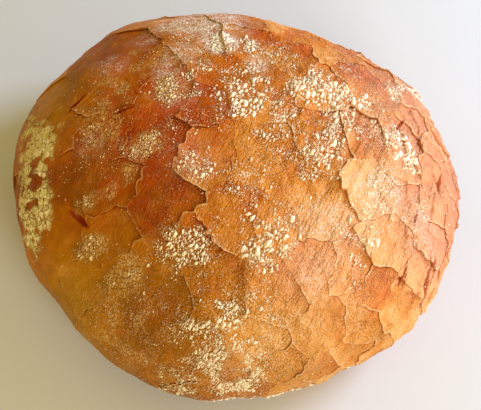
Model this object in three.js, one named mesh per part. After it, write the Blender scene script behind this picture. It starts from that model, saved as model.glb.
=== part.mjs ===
// Pugliese bread loaf: a round hearth loaf whose domed crust has broken into overlapping plates.
// Millimetres, +Z up. The origin is the middle of the loaf's box, on the surface that it stands on.
// One piece: the crust's plates, lips and steps are relief in the loaf's own surface.

import * as THREE from 'three';
import { mergeVertices } from 'three/addons/utils/BufferGeometryUtils.js';

// Profile of the loaf
const LOAF_HEIGHT = 103; // crown of the dome, without relief
const WAIST_HEIGHT = 38; // where the loaf is widest
const WAIST_RADIUS = 121; // mean radius of the outline there
const FOOT_SHARE = 0.72; // radius of the flat foot, as a share of the waist's
const DOME_POWER = 2.25; // 2 makes the dome an ellipse, and more makes it fuller
const AXIS = new THREE.Vector2(-1.2, 0.3); // the dome's axis, so that the loaf's box is centred

// Waves of the outline: number of lobes, height in mm, direction of a crest in degrees
const OUTLINE_WAVES = [
  { lobes: 2, height: 5.7, direction: -22 },
  { lobes: 3, height: 2.4, direction: 12 },
  { lobes: 4, height: 0.5, direction: -15 },
  { lobes: 5, height: 1.1, direction: 31 },
  { lobes: 6, height: 0.5, direction: 14 },
];

// Main plates of the crust, seen from above: centre x, centre y, lift above the loaf's own surface
const MAIN_PLATES = [
  [-50, 50, 0.5], [-72, 37, 0.8], [-21, 68, 0.4], [-20, 22, 0.2], [-33, 27, -0.3],
  [-40, 2, -0.1], [-70, 6, 0.3], [-97, 14, 0.2], [-90, -14, -0.2], [-64, -24, 0.1],
  [-39, -35, 0], [-14, -9, -0.2], [6, 67, 0.3], [13, 27, 0], [29, 65, 0],
  [52, 33, 0.2], [48, 3, 0], [12, -9, -0.2], [66, 10, -0.3], [74, -26, 1.3],
  [46, -40, -0.3], [22, -50, 0], [1, -48, 0.1], [-25, -62, -0.2], [-63, -51, 0.2],
  [-92, -43, 0], [-55, -68, 0.3], [-10, -79, 0], [19, -83, 0.9], [80, -50, 0.4],
];

// The other plates fill what is left, large on the -X side and small on the +X side
const MAIN_SPACING = 24; // least distance from a main plate's centre
const WIDE_SPACING = 25;
const CLOSE_SPACING = 15;
const SPACING_REACH = 100; // x at which the spacing stops changing
const PLATE_TRIALS = 6000;
const LOWEST_PLATE = 5; // height of the lowest plate's centre

// Each plate tilts like a shingle, with its raised edge towards -X and -Y
const SHINGLE = new THREE.Vector3(-0.8, -0.6, 0);
const SHINGLE_RISE = 0.04; // mm of rise for each mm along the plate
const TILT_SPREAD = 0.045;
const LIFT_SPREAD = 0.25;
const PLATE_CURVATURE = 190; // plates are flatter than the dome by the bow of this radius
const STEEPEST = 1.2; // largest height of a plate's edge over its own lift

// Where two plates meet: most seams are soft creases, and some are crisp steps with a raised lip
const SOFT_WIDTH = 5; // a soft seam blends over this distance
const SOFT_MEAN = 0.7;
const SOFT_SPREAD = 0.3;
const LIP_HEIGHT = 0.3;
const LIP_WIDTH = 2.2;
const SUNK_SHARE = 0.4; // how far the lower plate dips beside the lip, as a share of the lip

// Places where the crust has torn and its seams are crisp, seen from above: x, y, reach
const TORN_SPOTS = [
  [-42, 33, 10], [-49, 25, 10], [-64, 20, 8], [-36, 52, 9], [-18, 49, 12], [-54, 4, 8], [-86, 12, 8],
  [-30, 2, 14], [-22, -28, 14], [-52, -20, 9], [-83, -38, 9], [-48, -52, 9], [-4, -52, 12],
  [33, 57, 10], [57, -8, 9], [57, -28, 13], [35, -60, 8], [32, -104, 12],
];
const TORN_RIM = { start: 65, end: 105, share: 0.45 }; // the +X rim tears between these places along x

// Slow lumps of the dough and the wander of the plates' edges
const LUMPS = { count: 5, shortest: 45, longest: 90, height: 0.35 };
const SEAM_SOFTNESS = { count: 4, shortest: 28, longest: 55 };
const EDGE_WANDERS = [
  { count: 3, shortest: 20, longest: 30, height: 1.6 },
  { count: 3, shortest: 7, longest: 10, height: 0.6 },
];
const FOOT_FADE = 14; // relief fades out below this height, so that the foot stays flat

// Repeatable draws
const STREAM_FACTOR = 1664525;
const STREAM_STEP = 1013904223;
const STREAM_SIZE = 2 ** 32;
const SEEDS = { lumps: 11, softness: 23, wander: 37, places: 41, tilts: 53 };

// Mesh
const SPHERE_DETAIL = 12;
const MERGE_DISTANCE = 1e-5;
const PROFILE_STEPS = 600;
const FOOT_WEIGHT = 0.12; // share of triangles that the flat foot gets for its area
const SMALLEST_STEP = 0.2; // plates that meet with less than this are joined without a step
const CUT_MARGIN = 0.08; // a seam keeps this share of an edge away from the edge's ends
const QUARTER = Math.PI / 2;

const CRUST_MATERIAL = new THREE.MeshStandardMaterial({ color: 0xb8641e, roughness: 0.6, metalness: 0 });

// A function that gives the next number from 0 to 1 of a repeatable stream
function makeStream(seed) {
  let state = seed;
  return () => {
    state = (Math.imul(state, STREAM_FACTOR) + STREAM_STEP) >>> 0;
    return state / STREAM_SIZE;
  };
}

function drawUnitVector(draw) {
  const up = 2 * draw() - 1;
  const turn = 2 * Math.PI * draw();
  const flat = Math.sqrt(1 - up * up);
  return new THREE.Vector3(flat * Math.cos(turn), flat * Math.sin(turn), up);
}

// Plane waves in random directions: each also has a direction in which it pushes
function drawWaves({ count, shortest, longest, height = 1 }, draw) {
  return Array.from({ length: count }, () => {
    const heading = drawUnitVector(draw);
    const wavelength = THREE.MathUtils.lerp(shortest, longest, draw());
    const phase = 2 * Math.PI * draw();
    const push = drawUnitVector(draw).multiplyScalar(height);
    return { heading: heading.multiplyScalar(2 * Math.PI / wavelength), phase, push, height };
  });
}

function waveAt(wave, point) {
  return Math.sin(wave.heading.dot(point) + wave.phase);
}

function sumOfWaves(waves, point) {
  return waves.reduce((sum, wave) => sum + wave.height * waveAt(wave, point), 0);
}

// Radius of the loaf's outline at the waist in a direction seen from above
function outlineRadius(angle) {
  return OUTLINE_WAVES.reduce((radius, wave) => {
    const turn = wave.lobes * (angle - THREE.MathUtils.degToRad(wave.direction));
    return radius + wave.height * Math.cos(turn);
  }, WAIST_RADIUS);
}

// Profile of the loaf by stage: 0 at the crown, 1 at the waist, 2 at the foot's edge, 3 at its middle
function profileAt(stage) {
  if (stage <= 1) {
    const turn = stage * QUARTER;
    const share = Math.sin(turn) ** (2 / DOME_POWER);
    return { share, height: WAIST_HEIGHT + (LOAF_HEIGHT - WAIST_HEIGHT) * Math.cos(turn) };
  }
  if (stage <= 2) {
    const turn = (stage - 1) * QUARTER;
    const share = FOOT_SHARE + (1 - FOOT_SHARE) * Math.cos(turn);
    return { share, height: WAIST_HEIGHT * (1 - Math.sin(turn)) };
  }
  return { share: FOOT_SHARE * (3 - stage), height: 0 };
}

// Table of the profile's area from the crown down, so that triangles of like size cover the loaf
function makeAreaTable() {
  const table = [{ stage: 0, area: 0 }];
  let last = profileAt(0);
  for (let step = 1; step <= PROFILE_STEPS; step += 1) {
    const stage = 3 * step / PROFILE_STEPS;
    const next = profileAt(stage);
    const length = Math.hypot(WAIST_RADIUS * (next.share - last.share), next.height - last.height);
    const weight = stage > 2 ? FOOT_WEIGHT : 1;
    const ring = weight * length * (next.share + last.share) / 2;
    table.push({ stage, area: table[step - 1].area + ring });
    last = next;
  }
  return table;
}

const AREA_TABLE = makeAreaTable();
const WHOLE_AREA = AREA_TABLE[PROFILE_STEPS].area;

// Stage of the profile above which the given share of the loaf's area lies
function stageAt(areaShare) {
  const area = THREE.MathUtils.clamp(areaShare, 0, 1) * WHOLE_AREA;
  const after = Math.max(1, AREA_TABLE.findIndex((row) => row.area >= area));
  const low = AREA_TABLE[after - 1];
  const high = AREA_TABLE[after];
  return low.stage + (high.stage - low.stage) * (area - low.area) / (high.area - low.area);
}

// Point of the smooth loaf, without relief
function smoothPoint(angle, stage) {
  const { share, height } = profileAt(stage);
  const radius = share * outlineRadius(angle);
  return new THREE.Vector3(AXIS.x + radius * Math.cos(angle), AXIS.y + radius * Math.sin(angle), height);
}

// Direction out of the smooth loaf
function outwardAt(angle, stage) {
  const { share, height } = profileAt(stage);
  const above = height - WAIST_HEIGHT;
  let out = 0;
  let up = -1;
  if (stage <= 1) {
    out = DOME_POWER * share ** (DOME_POWER - 1) / outlineRadius(angle);
    up = 2 * above / (LOAF_HEIGHT - WAIST_HEIGHT) ** 2;
  } else if (stage < 2) {
    out = 2 * (share - FOOT_SHARE) / (1 - FOOT_SHARE) ** 2 / outlineRadius(angle);
    up = 2 * above / WAIST_HEIGHT ** 2;
  }
  return new THREE.Vector3(out * Math.cos(angle), out * Math.sin(angle), up).normalize();
}

// Point of the smooth dome under or over a place seen from above
function domePoint(x, y) {
  const angle = Math.atan2(y - AXIS.y, x - AXIS.x);
  const share = Math.hypot(x - AXIS.x, y - AXIS.y) / outlineRadius(angle);
  return smoothPoint(angle, Math.asin(share ** (DOME_POWER / 2)) / QUARTER);
}

function plateSpacing(point) {
  const across = THREE.MathUtils.clamp(point.x / SPACING_REACH, -1, 1);
  return THREE.MathUtils.lerp(WIDE_SPACING, CLOSE_SPACING, (across + 1) / 2);
}

// Centres of all plates: the main ones, then drawn places that keep their distance from the others
function placePlates() {
  const plates = MAIN_PLATES.map(([x, y, lift]) => ({ centre: domePoint(x, y), lift }));
  const draw = makeStream(SEEDS.places);
  for (let trial = 0; trial < PLATE_TRIALS; trial += 1) {
    const angle = 2 * Math.PI * draw();
    const centre = smoothPoint(angle, stageAt(draw()));
    const spacing = plateSpacing(centre);
    const clear = plates.every((plate, index) => {
      const least = index < MAIN_PLATES.length ? Math.max(spacing, MAIN_SPACING) : spacing;
      return plate.centre.distanceTo(centre) > least;
    });
    if (clear && centre.z > LOWEST_PLATE) plates.push({ centre, lift: 0 });
  }
  return plates;
}

// Gives each plate its own lift and its own tilt about the shingle's
function tiltPlates(plates) {
  const draw = makeStream(SEEDS.tilts);
  for (const plate of plates) {
    plate.lift += LIFT_SPREAD * (2 * draw() - 1);
    const jitter = drawUnitVector(draw).multiplyScalar(TILT_SPREAD);
    plate.tilt = SHINGLE.clone().multiplyScalar(SHINGLE_RISE).add(jitter);
  }
  return plates;
}

const PLATES = tiltPlates(placePlates());
const LUMP_WAVES = drawWaves(LUMPS, makeStream(SEEDS.lumps));
const SOFTNESS_WAVES = drawWaves(SEAM_SOFTNESS, makeStream(SEEDS.softness));
const WANDER_STREAM = makeStream(SEEDS.wander);
const WANDER_WAVES = EDGE_WANDERS.flatMap((band) => drawWaves(band, WANDER_STREAM));

// A place moved by the wander, so that the plates' straight edges come out ragged
function wander(point) {
  const moved = point.clone();
  for (const wave of WANDER_WAVES) moved.addScaledVector(wave.push, waveAt(wave, point));
  return moved;
}

// The two plates whose centres are nearest to a wandered place, nearest first
function nearestTwo(place) {
  const gaps = PLATES.map((plate) => ({ plate, gap: plate.centre.distanceToSquared(place) }));
  gaps.sort((one, two) => one.gap - two.gap);
  return gaps.slice(0, 2);
}

function plateHeight(plate, place) {
  const arm = place.clone().sub(plate.centre);
  const rise = arm.dot(plate.tilt) + arm.lengthSq() / (2 * PLATE_CURVATURE);
  return plate.lift + THREE.MathUtils.clamp(rise, -STEEPEST, STEEPEST);
}

// How torn the crust is at a point, from 0 to 1
function tornAt(point) {
  const rim = TORN_RIM.share * THREE.MathUtils.smoothstep(point.x, TORN_RIM.start, TORN_RIM.end);
  const spots = TORN_SPOTS.map(([x, y, reach]) => {
    const away = Math.hypot(point.x - x, point.y - y) / reach;
    return Math.exp(-(away ** 2));
  });
  return Math.max(rim, ...spots);
}

// How soft a seam is at a point: 0 is a crisp step, and 1 is a crease with no step
function seamSoftness(point) {
  const soft = SOFT_MEAN + SOFT_SPREAD * sumOfWaves(SOFTNESS_WAVES, point);
  return THREE.MathUtils.clamp(soft, 0, 1) * (1 - tornAt(point));
}

// Height of the crust over the smooth loaf, from its plate's height, its neighbour's and the way to the seam
function reliefAt(point, own, other, toSeam) {
  const soft = seamSoftness(point);
  const blend = 0.5 * soft * Math.max(0, 1 - toSeam / SOFT_WIDTH) ** 2;
  const side = own > other ? 1 : -SUNK_SHARE;
  const lip = side * LIP_HEIGHT * (1 - soft) * Math.exp(-toSeam / LIP_WIDTH);
  const fade = THREE.MathUtils.smoothstep(point.z, 0, FOOT_FADE);
  return fade * (sumOfWaves(LUMP_WAVES, point) + own + blend * (other - own) + lip);
}

// A node of the crust's net: a smooth point, the way out, and a height for each plate that meets there
function makeNode(point, outward) {
  return { point, outward, place: wander(point), heights: new Map(), vertices: new Map() };
}

// A node inside one plate
function makePlateNode(angle, stage) {
  const node = makeNode(smoothPoint(angle, stage), outwardAt(angle, stage));
  const [first, second] = nearestTwo(node.place);
  const apart = first.plate.centre.distanceTo(second.plate.centre);
  const toSeam = (second.gap - first.gap) / (2 * apart);
  const own = plateHeight(first.plate, node.place);
  const other = plateHeight(second.plate, node.place);
  node.plate = first.plate;
  node.heights.set(first.plate, reliefAt(node.point, own, other, toSeam));
  return node;
}

function setSeamHeights(node, plates) {
  const own = plates.map((plate) => plateHeight(plate, node.place));
  const sum = own.reduce((total, height) => total + height, 0);
  plates.forEach((plate, index) => {
    const other = (sum - own[index]) / (plates.length - 1);
    node.heights.set(plate, reliefAt(node.point, own[index], other, 0));
  });
  return node;
}

// Joins plates at a node: they then meet there without a step
function weld(node, plates) {
  const sum = plates.reduce((total, plate) => total + node.heights.get(plate), 0);
  for (const plate of plates) node.heights.set(plate, sum / plates.length);
}

function stepAt(node, one, two) {
  return node.heights.get(one) - node.heights.get(two);
}

// How much nearer a node is to its own plate than to another, as a difference of squares
function leadOver(node, plate) {
  return plate.centre.distanceToSquared(node.place) - node.plate.centre.distanceToSquared(node.place);
}

// The node where the edge between two plate nodes crosses the seam of their plates
function makeSeamNode(from, to) {
  const lead = leadOver(from, to.plate);
  const share = lead / (lead + leadOver(to, from.plate));
  const cut = THREE.MathUtils.clamp(share, CUT_MARGIN, 1 - CUT_MARGIN);
  const point = from.point.clone().lerp(to.point, cut);
  const outward = from.outward.clone().lerp(to.outward, cut).normalize();
  const node = setSeamHeights(makeNode(point, outward), [from.plate, to.plate]);
  if (Math.abs(stepAt(node, from.plate, to.plate)) < SMALLEST_STEP) weld(node, [from.plate, to.plate]);
  return node;
}

// The node where three plates meet: the two nearest in height are joined, so one step is left there
function makeCornerNode(nodes, plates) {
  const point = new THREE.Vector3();
  const outward = new THREE.Vector3();
  for (const node of nodes) {
    point.addScaledVector(node.point, 1 / nodes.length);
    outward.add(node.outward);
  }
  const corner = setSeamHeights(makeNode(point, outward.normalize()), plates);
  const order = [...plates].sort((one, two) => stepAt(corner, one, two));
  const lowPair = stepAt(corner, order[1], order[0]);
  const highPair = stepAt(corner, order[2], order[1]);
  weld(corner, lowPair < highPair ? order.slice(0, 2) : order.slice(1));
  return corner;
}

// The net over the smooth loaf: a sphere's vertices moved to the profile by area
function makeNet() {
  const sphere = new THREE.IcosahedronGeometry(1, SPHERE_DETAIL);
  sphere.deleteAttribute('normal');
  sphere.deleteAttribute('uv');
  const { attributes, index } = mergeVertices(sphere, MERGE_DISTANCE);
  const nodes = [];
  const vertex = new THREE.Vector3();
  for (let row = 0; row < attributes.position.count; row += 1) {
    vertex.fromBufferAttribute(attributes.position, row);
    nodes.push(makePlateNode(Math.atan2(vertex.y, vertex.x), stageAt((1 - vertex.z) / 2)));
  }
  return { nodes, index: index.array };
}

// Collects the facets of the plates, and the walls between plates, of a net cut along its seams
function cutNet({ nodes, index }) {
  const seamNodes = new Map();
  const facets = [];
  const walls = [];

  function seamNode(one, two) {
    const key = `${Math.min(one, two)} ${Math.max(one, two)}`;
    if (!seamNodes.has(key)) seamNodes.set(key, makeSeamNode(nodes[one], nodes[two]));
    return seamNodes.get(key);
  }

  // Two corners on one plate, and the last on another
  function cutInTwo(first, second, last) {
    const { plate } = nodes[first];
    const other = nodes[last].plate;
    const near = seamNode(second, last);
    const far = seamNode(last, first);
    facets.push({ plate, corners: [nodes[first], nodes[second], near, far] });
    facets.push({ plate: other, corners: [nodes[last], far, near] });
    walls.push({ from: far, to: near, one: plate, two: other });
  }

  // Each corner on a plate of its own
  function cutInThree(corners) {
    const plates = corners.map((corner) => nodes[corner].plate);
    const seams = corners.map((corner, turn) => seamNode(corner, corners[(turn + 1) % 3]));
    const middle = makeCornerNode(seams, plates);
    corners.forEach((corner, turn) => {
      const before = seams[(turn + 2) % 3];
      facets.push({ plate: plates[turn], corners: [nodes[corner], seams[turn], middle, before] });
      walls.push({ from: middle, to: seams[turn], one: plates[turn], two: plates[(turn + 1) % 3] });
    });
  }

  for (let row = 0; row < index.length; row += 3) {
    const corners = [...index.slice(row, row + 3)];
    const plates = corners.map((corner) => nodes[corner].plate);
    const kinds = new Set(plates).size;
    if (kinds === 1) {
      facets.push({ plate: plates[0], corners: corners.map((corner) => nodes[corner]) });
    } else if (kinds === 3) {
      cutInThree(corners);
    } else {
      const odd = plates.findIndex((plate) => plates.filter((other) => other === plate).length === 1);
      cutInTwo(corners[(odd + 1) % 3], corners[(odd + 2) % 3], corners[odd]);
    }
  }
  return { facets, walls };
}

// A wall whose step changes sides would cross itself, so the smaller of its steps is closed
function closeCrossedWalls(walls) {
  for (const { from, to, one, two } of walls) {
    const here = stepAt(from, one, two);
    const there = stepAt(to, one, two);
    const smaller = Math.abs(here) < Math.abs(there) && from.heights.size === 2 ? from : to;
    if (here * there < 0) weld(smaller, [one, two]);
  }
}

// The loaf's closed surface: plates at their heights, and the walls of the steps between them
function makeLoafGeometry() {
  const { facets, walls } = cutNet(makeNet());
  closeCrossedWalls(walls);
  const positions = [];
  const triangles = [];

  function vertexOf(node, plate) {
    const height = node.heights.get(plate);
    if (!node.vertices.has(height)) {
      node.vertices.set(height, positions.length / 3);
      positions.push(...node.point.clone().addScaledVector(node.outward, height));
    }
    return node.vertices.get(height);
  }

  function addPolygon(corners) {
    for (let turn = 2; turn < corners.length; turn += 1) {
      const triangle = [corners[0], corners[turn - 1], corners[turn]];
      if (new Set(triangle).size === 3) triangles.push(...triangle);
    }
  }

  for (const { plate, corners } of facets) addPolygon(corners.map((node) => vertexOf(node, plate)));
  for (const { from, to, one, two } of walls) {
    addPolygon([vertexOf(from, one), vertexOf(to, one), vertexOf(to, two), vertexOf(from, two)]);
  }
  const geometry = new THREE.BufferGeometry();
  geometry.setAttribute('position', new THREE.Float32BufferAttribute(positions, 3));
  geometry.setIndex(triangles);
  geometry.computeVertexNormals();
  return geometry;
}

const loaf = new THREE.Mesh(makeLoafGeometry(), CRUST_MATERIAL);
loaf.name = 'loaf';

const bread = new THREE.Group();
bread.add(loaf);

export default bread;
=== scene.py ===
import itertools
import math

import bpy
import numpy as np
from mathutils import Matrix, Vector


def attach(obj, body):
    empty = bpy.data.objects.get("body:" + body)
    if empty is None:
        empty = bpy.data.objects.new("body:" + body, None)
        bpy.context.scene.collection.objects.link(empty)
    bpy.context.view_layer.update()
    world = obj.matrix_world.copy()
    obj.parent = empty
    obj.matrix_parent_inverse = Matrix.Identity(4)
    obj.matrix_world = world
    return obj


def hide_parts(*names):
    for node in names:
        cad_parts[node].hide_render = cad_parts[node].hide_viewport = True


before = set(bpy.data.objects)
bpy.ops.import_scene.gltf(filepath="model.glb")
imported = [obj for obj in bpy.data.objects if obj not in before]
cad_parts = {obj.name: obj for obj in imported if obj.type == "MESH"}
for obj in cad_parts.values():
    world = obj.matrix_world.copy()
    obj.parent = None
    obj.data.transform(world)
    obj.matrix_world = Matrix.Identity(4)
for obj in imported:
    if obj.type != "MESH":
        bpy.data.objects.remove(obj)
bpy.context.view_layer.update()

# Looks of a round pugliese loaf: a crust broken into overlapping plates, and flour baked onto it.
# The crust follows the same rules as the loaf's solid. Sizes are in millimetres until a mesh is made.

METRES = 0.001
QUARTER = math.pi / 2

# Profile of the loaf, as in the solid
LOAF_HEIGHT = 103
WAIST_HEIGHT = 38
WAIST_RADIUS = 121
FOOT_SHARE = 0.72
DOME_POWER = 2.25
AXIS = np.array([-1.2, 0.3])

# Waves of the outline: lobes, height, direction of a crest in degrees
OUTLINE_WAVES = [(2, 5.7, -22), (3, 2.4, 12), (4, 0.5, -15), (5, 1.1, 31), (6, 0.5, 14)]

# Main plates of the crust: centre x, centre y, lift, extra bake (partly painted light and shade of its tilt)
MAIN_PLATES = [
    (-50, 50, 0.5, 0.02), (-72, 37, 0.8, -0.04), (-21, 68, 0.4, -0.05), (-20, 22, 0.2, 0.08),
    (-33, 27, -0.3, 0), (-40, 2, -0.1, 0.12), (-70, 6, 0.3, 0.05), (-97, 14, 0.2, -0.1),
    (-90, -14, -0.2, 0.12), (-64, -24, 0.1, 0.05), (-39, -35, 0, 0.18), (-14, -9, -0.2, -0.15),
    (6, 67, 0.3, -0.04), (13, 27, 0, -0.06), (29, 65, 0, 0.1), (52, 33, 0.2, 0), (48, 3, 0, 0.12),
    (12, -9, -0.2, -0.12), (66, 10, -0.3, 0.14), (74, -26, 1.3, -0.4), (46, -40, -0.3, -0.18),
    (22, -50, 0, -0.08), (1, -48, 0.1, 0), (-25, -62, -0.2, 0.03), (-63, -51, 0.2, 0.02),
    (-92, -43, 0, 0), (-55, -68, 0.3, -0.05), (-10, -79, 0, 0.05), (19, -83, 0.9, 0),
    (80, -50, 0.4, -0.15),
]

# The other plates
MAIN_SPACING = 24
WIDE_SPACING = 25
CLOSE_SPACING = 15
SPACING_REACH = 100
PLATE_TRIALS = 6000
LOWEST_PLATE = 5

# Tilt and height of the plates
SHINGLE = np.array([-0.8, -0.6, 0])
SHINGLE_RISE = 0.04
TILT_SPREAD = 0.045
LIFT_SPREAD = 0.25
PLATE_CURVATURE = 190
STEEPEST = 1.2

# Seams between plates
SOFT_WIDTH = 5
SOFT_MEAN = 0.7
SOFT_SPREAD = 0.3
LIP_HEIGHT = 0.3
LIP_WIDTH = 2.2
SUNK_SHARE = 0.4
CRISP_SHARE = 0.7
CRISP_HEIGHTS = (20, 70)

# Places where the crust has torn and its seams are crisp: x, y, reach
TORN_SPOTS = [
    (-42, 33, 10), (-49, 25, 10), (-64, 20, 8), (-36, 52, 9), (-18, 49, 12), (-54, 4, 8), (-86, 12, 8),
    (-30, 2, 14), (-22, -28, 14), (-52, -20, 9), (-83, -38, 9), (-48, -52, 9), (-4, -52, 12),
    (33, 57, 10), (57, -8, 9), (57, -28, 13), (35, -60, 8), (32, -104, 12),
]

# The same towards the right rim: start and end along x, share
TORN_RIM = (65, 105, 0.45)

# Lumps, softness and wander: count, shortest and longest wave, height
LUMPS = (5, 45, 90, 0.35)
SEAM_SOFTNESS = (4, 28, 55, 1)
EDGE_WANDERS = [(3, 20, 30, 1.6), (3, 7, 10, 0.6)]
RAG_WANDER = (8, 2.4, 4.5, 0.16)
FOOT_FADE = 14

# Repeatable draws
STREAM_FACTOR = 1664525
STREAM_STEP = 1013904223
STREAM_SIZE = 2 ** 32
CELL_FACTORS = (73856093, 19349663, 83492791)
SEED_FACTOR = 2654435761
MIXING_ROUNDS = [(15, 2246822519), (13, 3266489917)]
LAST_SHIFT = 16
SEEDS = {
    "lumps": 11, "softness": 23, "wander": 37, "places": 41, "tilts": 53, "rag": 61,
    "flour": 71, "tones": 83, "grains": 97, "sides": 101,
}

# Blisters and pimples that only the looks have: size, height, seed
BLISTERS = [(17, 1.1, 17), (8, 0.6, 8)]
PIMPLES = [(4.2, 0.45, 42), (2.4, 0.25, 24)]
PIMPLE_REACH = (-60, 30)
LEAST_BLISTERS = 0.6
LEAST_PIMPLES = 0.25

# Wrinkles and scales on the right, drawn out along one heading
WRINKLE_TURN = math.radians(62)
WRINKLE_HEADING = np.array([math.cos(WRINKLE_TURN), math.sin(WRINKLE_TURN), 0])
WRINKLE_STRETCH = 0.78
WRINKLE_SIZE = 4.4
WRINKLE_HEIGHT = 0.8
WRINKLE_REACH = (-20, 60)
WRINKLE_SEED = 4
SCALE_STRETCH = 0.45
SCALE_SIZE = 9
SCALE_RISE = 0.05
SCALE_REACH = (-10, 45)
SCALE_JITTER = 0.45
SCALE_SEEDS = (51, 52, 53)
RIM_SCALE_RISE = 0.09
RIM_REACH = (72, 98)

# Slits where the crust gapes: x, y, half length, half width, turn in degrees
GAPES = [
    (-81, -38, 9, 1.6, -44), (-86, 31, 8, 1.0, 40), (-60, 20, 8, 0.9, 12), (111, -10, 7, 1.0, 80),
    (103, -61, 14, 1.1, 70), (95, -35, 6, 0.8, 70), (87, -65, 7, 0.8, 70), (90, 19, 6, 0.8, 60),
]
GAPE_DEPTH = 1.0
GAPE_WALL = (0, 0.5)
GAPE_LIP = 0.5
GAPE_LIP_PLACE = 0.4
GAPE_LIP_REACH = 0.8

# Nets
NET_SIDE = 84
POINT_DIGITS = 7
SIDE_WEIGHT = 0.55
FOOT_WEIGHT = 0.12
NET_FOOT_WEIGHT = 0.04
PROFILE_STEPS = 600
PLATE_CHUNK = 5000
SMALLEST_STEP = 0.06
CUT_MARGIN = 0.08
CRUST_SHARP_ANGLE = math.radians(38)
FLOUR_SHARP_ANGLE = math.radians(80)


def stream(seed):
    """The next number from 0 to 1 of a repeatable stream, each time."""
    state = seed
    while True:
        state = (state * STREAM_FACTOR + STREAM_STEP) % STREAM_SIZE
        yield state / STREAM_SIZE


def draw_unit_vector(draw):
    up = 2 * next(draw) - 1
    turn = 2 * math.pi * next(draw)
    flat = math.sqrt(1 - up * up)
    return np.array([flat * math.cos(turn), flat * math.sin(turn), up])


def draw_waves(count, shortest, longest, height, draw):
    """Plane waves in random directions: heading, phase, push and height of each."""
    waves = []
    for _ in range(count):
        heading = draw_unit_vector(draw)
        wavelength = shortest + (longest - shortest) * next(draw)
        phase = 2 * math.pi * next(draw)
        push = draw_unit_vector(draw) * height
        waves.append((heading * 2 * math.pi / wavelength, phase, push, height))
    return waves


def sum_of_waves(waves, points):
    return sum(height * np.sin(points @ heading + phase) for heading, phase, _, height in waves)


def smoothstep(values, low, high):
    share = np.clip((values - low) / (high - low), 0, 1)
    return share * share * (3 - 2 * share)


def unit(vectors):
    return vectors / np.linalg.norm(vectors, axis=-1, keepdims=True)


def cell_value(cells, seed):
    """A repeatable number from -1 to 1 for each cell of a lattice."""
    mixed = seed * SEED_FACTOR
    for axis, factor in enumerate(CELL_FACTORS):
        mixed = mixed ^ cells[:, axis] * factor
    for shift, factor in MIXING_ROUNDS:
        mixed = (mixed ^ (mixed >> shift)) * factor % STREAM_SIZE
    return (mixed ^ (mixed >> LAST_SHIFT)) * 2 / STREAM_SIZE - 1


def lattice_noise(points, cell, seed):
    """Smooth noise from -1 to 1, with features about as large as the cell."""
    grid = points / cell
    base = np.floor(grid).astype(np.int64)
    part = grid - base
    part = part * part * (3 - 2 * part)
    total = np.zeros(len(points))
    for corner in itertools.product((0, 1), repeat=3):
        weight = np.prod(np.where(corner, part, 1 - part), axis=1)
        total += weight * cell_value(base + np.array(corner), seed)
    return total


def sum_of_noise(points, bands):
    """Noise in several bands, each with its size, height and seed."""
    return sum(height * lattice_noise(points, size, seed) for size, height, seed in bands)


def patch_share(points, patch):
    """How far points lie from the middle of a patch, as a share of its size."""
    x, y, half_length, half_width, turn = patch[:5]
    angle = math.radians(turn)
    away_x, away_y = points[:, 0] - x, points[:, 1] - y
    along = (away_x * math.cos(angle) + away_y * math.sin(angle)) / half_length
    across = (away_y * math.cos(angle) - away_x * math.sin(angle)) / half_width
    return np.hypot(along, across)


# Form of the smooth loaf

def outline_radius(angle):
    radius = np.full(np.shape(angle), float(WAIST_RADIUS))
    for lobes, height, direction in OUTLINE_WAVES:
        radius = radius + height * np.cos(lobes * (angle - math.radians(direction)))
    return radius


def profile_at(stage):
    """Share of the outline's radius and height: 0 crown, 1 waist, 2 foot's edge, 3 foot's middle."""
    upper = np.clip(stage, 0, 1) * QUARTER
    lower = np.clip(stage - 1, 0, 1) * QUARTER
    dome_share = np.sin(upper) ** (2 / DOME_POWER)
    side_share = FOOT_SHARE + (1 - FOOT_SHARE) * np.cos(lower)
    share = np.where(stage <= 1, dome_share, np.where(stage <= 2, side_share, FOOT_SHARE * (3 - stage)))
    dome_height = WAIST_HEIGHT + (LOAF_HEIGHT - WAIST_HEIGHT) * np.cos(upper)
    return share, np.where(stage <= 1, dome_height, WAIST_HEIGHT * (1 - np.sin(lower)))


def area_table(side_weight, foot_weight):
    """Stages of the profile, and the weighted share of the loaf's area above each."""
    stages = np.linspace(0, 3, PROFILE_STEPS + 1)
    share, height = profile_at(stages)
    length = np.hypot(WAIST_RADIUS * np.diff(share), np.diff(height))
    weight = np.where(stages[1:] > 2, foot_weight, np.where(stages[1:] > 1, side_weight, 1.0))
    areas = np.concatenate([[0], np.cumsum(weight * length * (share[1:] + share[:-1]) / 2)])
    return stages, areas / areas[-1]


def smooth_points(angle, stage):
    share, height = profile_at(stage)
    radius = share * outline_radius(angle)
    return np.stack([AXIS[0] + radius * np.cos(angle), AXIS[1] + radius * np.sin(angle), height], -1)


def outward_at(angle, stage):
    share, height = profile_at(stage)
    above = height - WAIST_HEIGHT
    radius = outline_radius(angle)
    dome_out = DOME_POWER * share ** (DOME_POWER - 1) / radius
    dome_up = 2 * above / (LOAF_HEIGHT - WAIST_HEIGHT) ** 2
    side_out = 2 * (share - FOOT_SHARE) / (1 - FOOT_SHARE) ** 2 / radius
    side_up = 2 * above / WAIST_HEIGHT ** 2
    out = np.where(stage <= 1, dome_out, np.where(stage < 2, side_out, 0))
    up = np.where(stage <= 1, dome_up, np.where(stage < 2, side_up, -1))
    return unit(np.stack([out * np.cos(angle), out * np.sin(angle), up], -1))


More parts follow.
